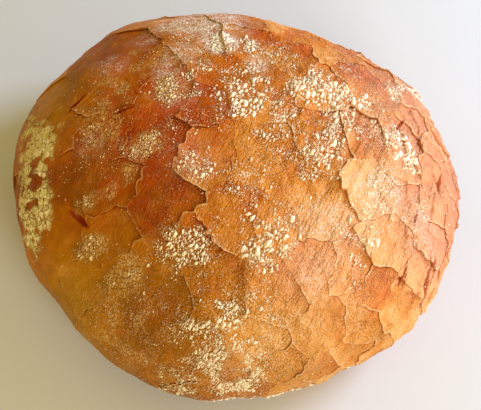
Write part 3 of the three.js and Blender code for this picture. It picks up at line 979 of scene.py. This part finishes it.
def island_reach(seeds, spacing, axes, turns, drawn):
    """Distance from each seed to its island's edge in each direction: its share of the way to a rival."""
    rivals = nearest_neighbours(drawn_out(seeds, CRUMB_STRETCH), ISLAND_NEIGHBOURS)
    arms = seeds[rivals] - seeds[:, None, :]
    share = spacing[:, None] / (spacing[:, None] + spacing[rivals])
    plate, neighbour, to_seam = nearest_two(wander(seeds))
    to_neighbour = unit(PLATE_CENTRES[neighbour] - PLATE_CENTRES[plate])
    share = share * (1 + CRUMB_OVERLAP * smoothstep(seeds[:, :1], *OVERLAP_REACH))
    arms = np.concatenate([arms * share[..., None], (to_neighbour * to_seam[:, None])[:, None, :]], axis=1)
    x = np.einsum("ijk,ik->ij", arms, axes[0])
    y = np.einsum("ijk,ik->ij", arms, axes[1])
    length, heading = np.hypot(x, y), np.arctan2(y, x)
    reach = ISLAND_REACH * spacing[:, None] * drawn
    for k in range(arms.shape[1]):
        facing = np.maximum(np.cos(turns - heading[:, k:k + 1]), LEAST_FACING)
        reach = np.minimum(reach, length[:, k:k + 1] / facing)
    return reach


def island_radius(chance, reach, cover):
    """Distance from each seed to its island's foot: nearer the full reach where the flour is thick."""
    fullness = np.clip(FULLNESS_START + FULLNESS_RISE * cover, *FULLNESS_RANGE)
    fullness = fullness * chance.uniform(*FULLNESS_JITTER, len(cover))
    radius = np.maximum(reach * fullness[:, None] - ISLAND_GAP, LEAST_RADIUS)
    return radius * chance.uniform(*RADIUS_JITTER, reach.shape)


def island_mesh(chance, seeds, axes, turns, radius):
    """Islands with a sunk foot, a brow inside it and a raised middle."""
    count = len(seeds)
    thickness = np.clip(ISLAND_STEEPNESS * radius.mean(1), *ISLAND_THICKNESS)
    thickness = thickness * chance.uniform(*THICKNESS_JITTER, count)
    brow_share = chance.uniform(*BROW_SHARE, turns.shape)
    brow_height = thickness[:, None] * chance.uniform(*BROW_HEIGHT, turns.shape)
    foot = crust_points(ring_points(seeds, axes, turns, radius), np.full(turns.size, -SUNK))
    brow = crust_points(ring_points(seeds, axes, turns, radius * brow_share), brow_height.ravel())
    middle = crust_points(seeds, thickness * chance.uniform(*MIDDLE_HEIGHT, count))
    return np.concatenate([foot, brow, middle]), island_faces(count)


def island_faces(count):
    """Triangles of islands whose feet come first, then their brows, then their middles."""
    foot, foot_next = ring_numbers(count, ISLAND_SIDES)
    brow, brow_next = ring_numbers(count, ISLAND_SIDES, foot.size)
    middle = peak_numbers(count, ISLAND_SIDES, 2 * foot.size)
    bands = [(foot, foot_next, brow_next), (foot, brow_next, brow), (brow, brow_next, middle)]
    return ring_faces(bands, foot)


def make_islands():
    """Islands of crackled flour: low cakes that share out their patch like dried mud."""
    chance = np.random.default_rng(SEEDS["flour"])
    seeds, outward, cover, spacing = island_seeds(chance)
    axes = tangents(outward)
    turns = ring_turns(chance, len(seeds), ISLAND_SIDES, ISLAND_TURN_JITTER)
    reach = island_reach(seeds, spacing, axes, turns, drawn_share(axes, turns, chance))
    radius = island_radius(chance, reach, cover)
    shown = (cover > chance.uniform(*ISLAND_SHOWN, len(seeds))) & (reach.min(1) > LEAST_ISLAND_REACH)
    return island_mesh(chance, seeds[shown], [axis[shown] for axis in axes], turns[shown], radius[shown])


def grain_places(chance):
    """Places of loose grains, densest in and round the patches, and the ways out there."""
    places, outward = drawn_places(chance, GRAIN_TRIALS)
    cover, _, _ = flour_fields(places)
    clouds = 0.5 + 0.5 * lattice_noise(places, *GRAIN_CLOUDS)
    least, rise = BARE_DENSITY
    bare = least + rise * smoothstep(places[:, 0], *BARE_REACH)
    density = (bare + GRAIN_DENSITY * np.clip(cover, 0, MOST_COVER) ** 2) * clouds
    density = density * smoothstep(places[:, 2], *GRAIN_HEIGHTS)
    rank = chance.random(len(places)) / np.maximum(density, LEAST_DENSITY)
    kept = np.argsort(rank)[:GRAIN_COUNT]
    return places[kept], outward[kept]


def make_grains():
    """Loose grains of flour, as small peaks."""
    chance = np.random.default_rng(SEEDS["grains"])
    places, outward = grain_places(chance)
    least, most = GRAIN_RADIUS
    size = least + (most - least) * chance.random(GRAIN_COUNT) ** GRAIN_SIZE_POWER
    turns = ring_turns(chance, GRAIN_COUNT, GRAIN_SIDES, GRAIN_TURN_JITTER)
    axes = tangents(outward)
    radius = size[:, None] * chance.uniform(*GRAIN_RADIUS_JITTER, turns.shape)
    radius = radius * drawn_share(axes, turns, chance)
    foot = crust_points(ring_points(places, axes, turns, radius), np.full(turns.size, -SUNK))
    peak = crust_points(places, size * chance.uniform(*PEAK_HEIGHT, GRAIN_COUNT))
    ring, ring_next = ring_numbers(GRAIN_COUNT, GRAIN_SIDES)
    top = peak_numbers(GRAIN_COUNT, GRAIN_SIDES, ring.size)
    return np.concatenate([foot, peak]), ring_faces([(ring, ring_next, top)], ring)


# Meshes

def new_object(name, data):
    piece = bpy.data.objects.new(name, data)
    bpy.context.scene.collection.objects.link(piece)
    return piece


def mesh_object(name, vertices, triangles, sharp_angle):
    mesh = bpy.data.meshes.new(name)
    mesh.from_pydata((vertices * METRES).tolist(), [], triangles.tolist())
    mesh.polygons.foreach_set("use_smooth", np.ones(len(mesh.polygons), bool))
    mesh.set_sharp_from_angle(angle=sharp_angle)
    return new_object(name, mesh)


def add_attribute(piece, name, values):
    attribute = piece.data.attributes.new(name, "FLOAT", "POINT")
    attribute.data.foreach_set("value", values.astype(np.float32))


# Materials

class Shader:
    """A material's node tree, with short calls for the nodes that the looks need, in millimetres."""

    def __init__(self, name):
        self.material = bpy.data.materials.new(name)
        self.material.use_nodes = True
        self.tree = self.material.node_tree
        self.surface = self.tree.nodes["Principled BSDF"]

    def put(self, socket, value):
        if isinstance(value, bpy.types.NodeSocket):
            self.tree.links.new(value, socket)
        else:
            socket.default_value = value

    def set(self, name, value):
        """Sets or links one of the surface's own sockets."""
        self.put(self.surface.inputs[name], value)

    def node(self, kind, **sockets):
        node = self.tree.nodes.new(kind)
        for name, value in sockets.items():
            self.put(node.inputs[name], value)
        return node

    def calculation(self, kind, operation, values):
        node = self.tree.nodes.new(kind)
        node.operation = operation
        for socket, value in zip(node.inputs, values):
            self.put(socket, value)
        return node.outputs[0]

    def math(self, operation, *values):
        return self.calculation("ShaderNodeMath", operation, values)

    def vector_math(self, operation, *values):
        return self.calculation("ShaderNodeVectorMath", operation, values)

    def times(self, first, *others):
        for other in others:
            first = self.math("MULTIPLY", first, other)
        return first

    def map(self, value, low, high, to_low=0.0, to_high=1.0):
        node = self.node("ShaderNodeMapRange", Value=value)
        node.interpolation_type = "SMOOTHSTEP"
        for name, number in zip(("From Min", "From Max", "To Min", "To Max"), (low, high, to_low, to_high)):
            self.put(node.inputs[name], number)
        return node.outputs[0]

    def mix(self, share, first, second, blend="MIX"):
        node = self.tree.nodes.new("ShaderNodeMix")
        node.data_type = "RGBA"
        node.blend_type = blend
        self.put(node.inputs[0], share)
        for socket, value in zip(node.inputs[6:8], (first, second)):
            self.put(socket, (*value, 1) if isinstance(value, tuple) else value)
        return node.outputs[2]

    def ramp(self, share, stops):
        node = self.node("ShaderNodeValToRGB", Fac=share)
        elements = node.color_ramp.elements
        while len(elements) < len(stops):
            elements.new(1)
        for element, (place, colour) in zip(elements, stops):
            element.position = place
            element.color = (*colour, 1)
        return node.outputs["Color"]

    def attribute(self, name):
        node = self.tree.nodes.new("ShaderNodeAttribute")
        node.attribute_name = name
        return node.outputs["Fac"]

    def place(self):
        return self.node("ShaderNodeTexCoord").outputs["Object"]

    def drawn_out_place(self, stretch):
        """The place, squeezed along the wrinkles, so that what is drawn there comes out longer that way."""
        turn = self.node("ShaderNodeVectorRotate", Vector=self.place(), Angle=-WRINKLE_TURN)
        return self.vector_math("MULTIPLY", turn.outputs[0], (1 - stretch, 1, 1))

    def texture(self, kind, place, size):
        """A texture with features about as large as the size."""
        return self.node(kind, Vector=place, Scale=1 / (size * METRES))

    def noise(self, size, detail, roughness):
        """Noise from 0 to 1."""
        node = self.texture("ShaderNodeTexNoise", self.place(), size)
        self.put(node.inputs["Detail"], detail)
        self.put(node.inputs["Roughness"], roughness)
        return node.outputs["Fac"]

    def grains(self, size):
        """Rounded grains side by side: 1 on top of each, falling off to its edges."""
        node = self.texture("ShaderNodeTexVoronoi", self.place(), size)
        return self.math("SUBTRACT", 1.0, node.outputs["Distance"])

    def wrinkles(self, size):
        """Depth of noise that is drawn out into long creases along the wrinkles, from 0 to 0.5."""
        node = self.texture("ShaderNodeTexNoise", self.drawn_out_place(WRINKLE_STRETCH), size)
        return self.math("ABSOLUTE", self.math("SUBTRACT", node.outputs["Fac"], 0.5))

    def crackle(self, size, warp):
        """Distance to the nearest gap of a crackle, as a share of its cells, and a number for each cell."""
        place = self.drawn_out_place(FILM_STRETCH)
        noise = self.texture("ShaderNodeTexNoise", place, size)
        warped = self.vector_math("MULTIPLY_ADD", noise.outputs["Color"], [warp * METRES] * 3, place)
        cells = []
        for feature, output in (("DISTANCE_TO_EDGE", "Distance"), ("F1", "Color")):
            node = self.texture("ShaderNodeTexVoronoi", warped, size)
            node.feature = feature
            cells.append(node.outputs[output])
        return cells

    def bump(self, height, distance, strength):
        node = self.node("ShaderNodeBump", Height=height, Strength=strength, Distance=distance * METRES)
        return node.outputs["Normal"]


# Colours of the crust by how far it is baked, from pale to dark
GOLDEN_CRUST = [
    (0, (0.84, 0.41, 0.12)), (0.33, (0.73, 0.265, 0.035)),
    (0.66, (0.5, 0.145, 0.003)), (1, (0.3, 0.09, 0.0006)),
]
RED_CRUST = [
    (0, (0.76, 0.25, 0.05)), (0.33, (0.64, 0.145, 0.01)),
    (0.66, (0.46, 0.064, 0.0004)), (1, (0.29, 0.04, 0.0002)),
]
# Yellower crust: partly an amber tone, partly painted warm fill light on the shaded far left
AMBER_CRUST = [
    (0, (0.84, 0.47, 0.17)), (0.33, (0.74, 0.37, 0.09)),
    (0.66, (0.51, 0.235, 0.01)), (1, (0.33, 0.15, 0.003)),
]
# Pink on the lit right rim: partly the crust's own tone, partly a painted sheen of the window light
ROSY_SHEEN_CRUST = (0.8, 0.35, 0.21)

# Seams and slits, on the dark and the pale, lit side: painted highlight on raised edges, painted shadow by
# steps and in slits
LIP_HIGHLIGHT = (0.88, 0.48, 0.15)
PALE_LIT_LIP_HIGHLIGHT = (0.98, 0.7, 0.38)
CRACK_SHADOW_TINT = (0.4, 0.15, 0.05)
PALE_LIT_CRACK_SHADOW_TINT = (0.8, 0.56, 0.4)
GAPE_SHADE_COLOUR = (0.3, 0.03, 0.003)
PALE_LIT_GAPE_SHADE_COLOUR = (0.42, 0.08, 0.02)

# Colours of the flour
FILM_COLOUR = (0.75, 0.41, 0.11)
HAZE_COLOUR = (0.88, 0.76, 0.64)
# Flour cakes on the left: cream yellowed as painted warm shade light
SHADED_CAKE_COLOUR = (0.86, 0.75, 0.32)
GLINT_COLOUR = (0.95, 0.8, 0.58)
# Painted shade: flour darkened and yellowed towards the left, where only warm shade light falls
SHADED_FLOUR = (0.82, 0.62, 0.27)
FLOUR_SHADE = (0.88, 0.72, 0.46)
FLOUR_LIGHT = (0.97, 0.9, 0.72)

# Noises: size, detail, roughness
DRIFT_NOISE = (16, 2, 0.5)
# Breaks in the painted highlight along raised edges
LIP_HIGHLIGHT_NOISE = (5, 2, 0.6)
HAZE_NOISE = (0.9, 2, 0.6)
CLOUD_NOISE = (5, 2, 0.6)
MOTTLE_NOISE = (7, 3, 0.6)
FLOUR_AND_GLINT_SPECK_NOISE = (0.8, 1, 0.5)
FLOUR_NOISE = (2.5, 3, 0.6)
FLOUR_GRAIN_NOISE = (0.8, 2, 0.6)

# Ranges: from low, from high, and where they aren't 0 and 1, to low, to high
RED_DRIFT = (0.35, 0.65, -0.3, 0.3)
# Painted highlight along raised edges: breaks, reach from the seam, rise and share on the pale side
LIP_HIGHLIGHT_BREAKS = (0.34, 0.56)
LIP_HIGHLIGHT_REACH = (0.1, 1.2, 0.65, 0)
LIP_HIGHLIGHT_RISE = (0.05, 0.5)
LIP_HIGHLIGHT_ON_PALE_LIT = (0, 0.6, 0.5, 1)
# Painted shadow beside steps, and painted shade in the slits
CRACK_SHADOW_REACH = (0.05, 0.8, 0.7, 0)
CRACK_SHADOW_DROP = (-0.05, -0.6)
GAPE_SHADE_SHOWN = (-0.2, 0.3)
FILM_COVER = (0.2, 0.65)
FILM_CELLS = (0.2, 0.7, 0.6, 1)
HAZE_GRAINS = (0.42, 0.6)
HAZE_CLOUDS = (0.35, 0.6, 0.25, 1)
MOTTLE_BAKE = (0.3, 0.7, -0.1, 0.1)
FLOUR_AND_GLINT_SPECKS = (0.54, 0.66)
CRUST_ROUGHNESS = (0, 0.6, 0.42, 0.9)
FLOUR_TONES = (0.3, 0.7)

# Crackled films of flour: size of the cells, and the gap between them as a share of it
FILM_CRACKLE = (1.9, 0.03)
CAKE_CRACKLE = (3.8, 0.02)
CRACKLE_WARP = 0.3
CRACKLE_SLOPE = 3
CELL_SPREAD = 0.2
FILM_OPACITY = 0.7

# Finish
CRUST_GRAIN_SIZE = 1.0
# Painted shade: the crust darker between its grains and lighter on their tops
CRUST_GRAIN_SHADE = -0.35
CRUST_GRAIN_BUMP = 1.4
CREASE_SIZE = 2.4
CREASE_BUMP = -7.0
CRUST_BUMP = (0.4, 1.0)
CRUST_SPECULAR = 0.04
FLOUR_BUMP = (0.2, 0.5)
FLOUR_SPECULAR = 0.1
FLOUR_ROUGHNESS = 0.95


def baked_colour(shader, bake_and_shade):
    """Crust by its bake and painted shade, redder or more golden from place to place."""
    drift = shader.map(shader.noise(*DRIFT_NOISE), *RED_DRIFT)
    red = shader.math("ADD", shader.attribute("red"), drift)
    colour = shader.mix(red, shader.ramp(bake_and_shade, GOLDEN_CRUST), shader.ramp(bake_and_shade, RED_CRUST))
    colour = shader.mix(shader.attribute("amber_and_warm_light"), colour, shader.ramp(bake_and_shade, AMBER_CRUST))
    # Pink mixed in on the right rim, partly a painted sheen of the window light
    return shader.mix(shader.attribute("rosy_sheen"), colour, ROSY_SHEEN_CRUST)


def seam_light_and_shade(shader, colour):
    """Painted highlight on edges of plates that stand proud, painted shadow beside them and in the slits."""
    to_seam, rise, pale_and_lit = (shader.attribute(name) for name in ("to_seam", "rise", "pale_and_lit"))
    # Painted highlight along the edges of plates that stand proud
    lip = shader.times(
        shader.map(to_seam, *LIP_HIGHLIGHT_REACH), shader.map(rise, *LIP_HIGHLIGHT_RISE),
        shader.map(shader.noise(*LIP_HIGHLIGHT_NOISE), *LIP_HIGHLIGHT_BREAKS), shader.map(pale_and_lit, *LIP_HIGHLIGHT_ON_PALE_LIT),
    )
    # Painted shadow on the low side of a step, tinted from the crust's colour
    crack_shadow = shader.times(shader.map(to_seam, *CRACK_SHADOW_REACH), shader.map(rise, *CRACK_SHADOW_DROP))
    gap = shader.mix(1.0, colour, shader.mix(pale_and_lit, CRACK_SHADOW_TINT, PALE_LIT_CRACK_SHADOW_TINT), "MULTIPLY")
    colour = shader.mix(lip, colour, shader.mix(pale_and_lit, LIP_HIGHLIGHT, PALE_LIT_LIP_HIGHLIGHT))
    colour = shader.mix(crack_shadow, colour, gap)
    # Painted shade in the slits
    gape = shader.map(shader.attribute("gape"), *GAPE_SHADE_SHOWN)
    return shader.mix(gape, colour, shader.mix(pale_and_lit, GAPE_SHADE_COLOUR, PALE_LIT_GAPE_SHADE_COLOUR))


def flour_film(shader, crackle, cover):
    """Share of a thin film of flour that has crackled into cells, with gaps between them."""
    size, gap = crackle
    edge, cell = shader.crackle(size, CRACKLE_WARP * size)
    cover = shader.math("MULTIPLY_ADD", cell, CELL_SPREAD, shader.math("SUBTRACT", cover, CELL_SPREAD / 2))
    thickness = shader.times(shader.map(cover, *FILM_COVER), shader.map(cell, *FILM_CELLS))
    return shader.times(thickness, shader.map(edge, gap, CRACKLE_SLOPE * gap))


def flour_haze(shader):
    """Share of flour dust in fine grains that gather in clouds."""
    grains = shader.map(shader.noise(*HAZE_NOISE), *HAZE_GRAINS)
    clouds = shader.map(shader.noise(*CLOUD_NOISE), *HAZE_CLOUDS)
    return shader.times(grains, clouds, shader.attribute("haze"))


def crust_material():
    shader = Shader("crust")
    rough = shader.attribute("rough")
    mottle = shader.noise(*MOTTLE_NOISE)
    grains = shader.times(shader.math("SUBTRACT", shader.grains(CRUST_GRAIN_SIZE), 0.5), rough)
    bake_and_shade = shader.math("ADD", shader.attribute("bake_and_shade"), shader.map(mottle, *MOTTLE_BAKE))
    # Painted shade: the crust darker between its grains and lighter on their tops
    bake_and_shade = shader.math("MULTIPLY_ADD", grains, CRUST_GRAIN_SHADE, bake_and_shade)
    film = flour_film(shader, FILM_CRACKLE, shader.attribute("dust"))
    cakes = flour_film(shader, CAKE_CRACKLE, shader.attribute("cakes"))
    # Pale specks: partly flour, partly painted glints on the grainy crust
    flour_and_glint_specks = shader.times(shader.map(shader.noise(*FLOUR_AND_GLINT_SPECK_NOISE), *FLOUR_AND_GLINT_SPECKS), shader.attribute("sprinkle_and_glints"))
    colour = seam_light_and_shade(shader, baked_colour(shader, bake_and_shade))
    colour = shader.mix(flour_haze(shader), colour, HAZE_COLOUR)
    colour = shader.mix(shader.times(film, FILM_OPACITY), colour, FILM_COLOUR)
    colour = shader.mix(cakes, colour, SHADED_CAKE_COLOUR)
    colour = shader.mix(flour_and_glint_specks, colour, GLINT_COLOUR)
    film = shader.math("MAXIMUM", film, cakes)
    height = shader.math("MULTIPLY_ADD", grains, CRUST_GRAIN_BUMP, mottle)
    creases = shader.times(shader.wrinkles(CREASE_SIZE), rough)
    height = shader.math("MULTIPLY_ADD", creases, CREASE_BUMP, height)
    height = shader.math("ADD", height, film)
    shader.set("Base Color", colour)
    shader.set("Roughness", shader.map(film, *CRUST_ROUGHNESS))
    shader.set("Specular IOR Level", CRUST_SPECULAR)
    shader.set("Normal", shader.bump(height, *CRUST_BUMP))
    return shader.material


def flour_material():
    shader = Shader("flour")
    shade = shader.map(shader.noise(*FLOUR_NOISE), *FLOUR_TONES)
    colour = shader.mix(shade, FLOUR_SHADE, FLOUR_LIGHT)
    # Painted shade: flour darker and yellower towards the left
    shader.set("Base Color", shader.mix(shader.attribute("painted_shade"), colour, SHADED_FLOUR))
    shader.set("Roughness", FLOUR_ROUGHNESS)
    shader.set("Specular IOR Level", FLOUR_SPECULAR)
    shader.set("Normal", shader.bump(shader.noise(*FLOUR_GRAIN_NOISE), *FLOUR_BUMP))
    return shader.material


# Where the looks change

# Spots: strength, x, y, reach along x, reach along y
BAKE_SPOTS = [(0.42, -38, -100, 28, 30), (0.3, 31, -20, 13, 10), (-0.15, 48, -68, 30, 30)]
RED_SPOTS = [(1, -40, 8, 48, 45), (0.8, 22, 80, 24, 18)]
AMBER_WARM_LIGHT_SPOTS = [(0.35, 20, -100, 40, 25), (0.8, -103, 42, 20, 30), (0.8, -88, -76, 26, 30)]
ROSY_SHEEN_SPOTS = [(0.3, 48, -68, 30, 30)]

# Slopes, each of one or more ramps: axis, start, end
ACROSS = [(0, -75, 85)]
FRONT = [(1, -40, -90)]
FAR_RIGHT = [(0, 60, 105), (1, -60, 10)]
ROSY_SHEEN_RIM = [(0, 35, 115), (1, -100, -40), (2, 10, 50)]
ROUGH_RIGHT = [(0, -60, 40)]
CAKES_LEFT = [(0, -84, -94)]
# Painted shade on the flour, towards the left
SHADED_LEFT = [(0, 0, -50)]

# Bake, with painted light and shade in it
LEFT_BAKE_AND_SHADE = 0.74
RIGHT_BAKE_AND_LIGHT = 0.22
# Painted shade that darkens the far right rim, where the window light is strongest
FAR_RIGHT_SHADE = 0.28
# Painted shadow in the crust between flour crumbs, deeper where the flour is thick
FLOURED_SHADE = 0.3
BAKE_LUMPS = [(22, 0.1, 31)]
TONE_SPREAD = 0.12
TONE_BLEND = 8
TONE_RED = 2
# Painted shading of the scales: lighter where they rise, darker below their drops
FLAKE_SHADING = 0.2
RIM_FLAKE_SHADING = 0.3
# Painted highlight towards each plate's raised edge on the lit right
SHINGLE_HIGHLIGHT = 0.13
SHINGLE_REACH = 12

# Other looks
AMBER_FRONT = 0.12
ROSY_SHEEN_SHARE = 0.6
FLOUR_SHADE_SHARE = 0.8
FILM_CLUMPS = [(7, 0.45, 34)]
LEAST_ROUGHNESS = 0.32
RIGHT_ROUGHNESS = 0.5
FRONT_ROUGHNESS = 0.2
ROUGH_CLUMPS = [(13, 0.6, 33)]
# Where pale specks lie: partly flour, partly painted glints
SPRINKLE_AND_GLINT_START = 0.22
LEAST_SPRINKLE_AND_GLINTS = 0.2


def spots_at(points, spots):
    """Sum of soft oval spots, seen from above."""
    total = np.zeros(len(points))
    for strength, x, y, reach_x, reach_y in spots:
        away = ((points[:, 0] - x) / reach_x) ** 2 + ((points[:, 1] - y) / reach_y) ** 2
        total += strength * np.exp(-away)
    return total


def slope_at(points, ramps):
    """Product of smooth ramps, each from 0 to 1 along an axis."""
    return np.prod([smoothstep(points[:, axis], start, end) for axis, start, end in ramps], axis=0)


def plate_tones():
    """Extra bake of each plate, partly painted light and shade of its tilt: given for the main ones, and
    drawn for the others.
    """
    tones = np.random.default_rng(SEEDS["tones"]).normal(0, TONE_SPREAD, len(PLATE_CENTRES))
    tones[:len(MAIN_PLATES)] = [plate[3] for plate in MAIN_PLATES]
    return tones


def tones_at(columns):
    """Plates' tones, which run into each other at soft seams, with a painted highlight towards raised edges.
    """
    smooth, plate = columns["smooth"], columns["plate"]
    places = wander(smooth)
    first, second, _ = nearest_two(places)
    other = np.where(first == plate, second, first)
    tones = plate_tones()
    near = np.maximum(0, 1 - columns["to_seam"] / TONE_BLEND) ** 2
    blend = 0.5 * seam_softness(smooth) * near
    overlap = np.clip((places - PLATE_CENTRES[plate]) @ SHINGLE / SHINGLE_REACH, -1, 1)
    blended = tones[plate] + blend * (tones[other] - tones[plate])
    # Painted highlight towards each plate's raised edge on the lit right
    return blended - SHINGLE_HIGHLIGHT * overlap * slope_at(smooth, ACROSS)


def bake_and_shade_at(points):
    """Bake with painted light and shade, without the plates' own tones: least on the lit right and on raised
    scales.
    """
    # Darker to the left, away from the window, and lighter to the lit right: partly baking, partly painted
    # light and shade
    bake_and_shade = LEFT_BAKE_AND_SHADE + (RIGHT_BAKE_AND_LIGHT - LEFT_BAKE_AND_SHADE) * slope_at(points, ACROSS)
    bake_and_shade = bake_and_shade + FAR_RIGHT_SHADE * slope_at(points, FAR_RIGHT) + spots_at(points, BAKE_SPOTS)
    # Painted shading of the scales: lighter where they rise, darker below their drops
    flake_shading = FLAKE_SHADING + RIM_FLAKE_SHADING * smoothstep(points[:, 0], *RIM_REACH)
    return bake_and_shade - flake_shading * scales(points) + sum_of_noise(points, BAKE_LUMPS)


def roughness_at(points):
    """How grainy the crust is: most on the right and at the front."""
    right = RIGHT_ROUGHNESS * slope_at(points, ROUGH_RIGHT)
    front = FRONT_ROUGHNESS * slope_at(points, FRONT)
    return (LEAST_ROUGHNESS + right + front) * (1 + sum_of_noise(points, ROUGH_CLUMPS))


def crust_fields(columns):
    """Values at the crust's vertices that its colours come from."""
    smooth = columns["smooth"]
    clumped, even, _ = flour_fields(smooth)
    cover = np.clip(clumped, 0, 1)
    tones = tones_at(columns)
    rough = roughness_at(smooth)
    # Pink on the right rim, partly a painted sheen of the window light
    rosy_sheen_rim = ROSY_SHEEN_SHARE * slope_at(smooth, ROSY_SHEEN_RIM)
    return {
        # Bake with painted shade, including painted shadow between flour crumbs
        "bake_and_shade": bake_and_shade_at(smooth) + tones + FLOURED_SHADE * cover,
        "red": spots_at(smooth, RED_SPOTS) + TONE_RED * tones,
        # Yellower crust at the far left and front, partly painted warm fill light
        "amber_and_warm_light": spots_at(smooth, AMBER_WARM_LIGHT_SPOTS) + AMBER_FRONT * slope_at(smooth, FRONT),
        "rosy_sheen": np.maximum(rosy_sheen_rim, spots_at(smooth, ROSY_SHEEN_SPOTS)),
        # Towards the right: paler crust that the window lights, with lighter painted highlights and shadows
        # at its seams
        "pale_and_lit": slope_at(smooth, ACROSS),
        "to_seam": columns["to_seam"],
        "rise": columns["step"],
        "gape": np.clip(gape_share(smooth), -1, 1),
        "haze": haze_share(smooth),
        "dust": np.clip(even + sum_of_noise(smooth, FILM_CLUMPS), 0, 1) * film_share(smooth),
        "cakes": cover * slope_at(smooth, CAKES_LEFT),
        "rough": rough,
        # Where pale specks lie: partly flour, partly painted glints
        "sprinkle_and_glints": (rough - SPRINKLE_AND_GLINT_START) * (LEAST_SPRINKLE_AND_GLINTS + cover),
    }


# Pieces

def add_crust():
    columns, triangles = make_crust()
    crust = mesh_object("crust", columns["vertices"], triangles, CRUST_SHARP_ANGLE)
    for name, values in crust_fields(columns).items():
        add_attribute(crust, name, values)
    crust.data.materials.append(crust_material())
    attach(crust, "root")
    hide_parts("loaf")


def add_flour():
    material = flour_material()
    for name, (vertices, triangles) in (("flour_islands", make_islands()), ("flour_grains", make_grains())):
        piece = mesh_object(name, vertices, triangles, FLOUR_SHARP_ANGLE)
        # Painted shade on the flour, towards the left
        add_attribute(piece, "painted_shade", FLOUR_SHADE_SHARE * slope_at(vertices, SHADED_LEFT))
        piece.data.materials.append(material)
        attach(piece, "root")


# Camera, light and floor, in metres

CAMERA_TARGET = Vector((0.0034, -0.0095, 0.045))
CAMERA_ELEVATION = math.radians(62)
CAMERA_DISTANCE = 0.7
CAMERA_LENS = 93.1
FLOOR_SIZE = 6.0
FLOOR_COLOUR = (0.7, 0.705, 0.715)
FLOOR_ROUGHNESS = 0.9
WINDOW_PLACE = (0.92, 0.4, 0.6)
LIGHT_SIZE = 0.5
WINDOW_POWER = 17
WINDOW_COLOUR = (0.56, 0.69, 1.0)
FRONT_PLACE = (0.5, -0.95, 0.5)
FRONT_POWER = 7.5
FRONT_COLOUR = (0.92, 0.88, 0.82)
ROOM_COLOUR = (1.0, 0.81, 0.33)
ROOM_STRENGTH = 0.57


def add_camera():
    data = bpy.data.cameras.new("camera")
    data.lens = CAMERA_LENS
    camera = new_object("camera", data)
    back = Vector((0, -math.cos(CAMERA_ELEVATION), math.sin(CAMERA_ELEVATION)))
    camera.location = CAMERA_TARGET + back * CAMERA_DISTANCE
    camera.rotation_euler = (QUARTER - CAMERA_ELEVATION, 0, 0)
    bpy.context.scene.camera = camera


def add_soft_light(name, place, power, colour):
    """A wide round light that faces the loaf."""
    data = bpy.data.lights.new(name, "AREA")
    data.shape = "DISK"
    data.size = LIGHT_SIZE
    data.energy = power
    data.color = colour
    light = new_object(name, data)
    light.location = place
    light.rotation_euler = (-Vector(place)).to_track_quat("-Z", "Y").to_euler()


def add_room():
    world = bpy.data.worlds.new("room")
    world.use_nodes = True
    background = world.node_tree.nodes["Background"]
    background.inputs["Color"].default_value = (*ROOM_COLOUR, 1)
    background.inputs["Strength"].default_value = ROOM_STRENGTH
    bpy.context.scene.world = world


def add_floor():
    half = FLOOR_SIZE / 2
    corners = [(-half, -half, 0), (half, -half, 0), (half, half, 0), (-half, half, 0)]
    mesh = bpy.data.meshes.new("floor")
    mesh.from_pydata(corners, [], [(0, 1, 2, 3)])
    floor = new_object("floor", mesh)
    shader = Shader("floor")
    shader.set("Base Color", (*FLOOR_COLOUR, 1))
    shader.set("Roughness", FLOOR_ROUGHNESS)
    mesh.materials.append(shader.material)


bpy.context.scene.view_settings.view_transform = "Standard"
add_camera()
add_soft_light("window", WINDOW_PLACE, WINDOW_POWER, WINDOW_COLOUR)
add_soft_light("front", FRONT_PLACE, FRONT_POWER, FRONT_COLOUR)
add_room()
add_floor()
add_crust()
add_flour()
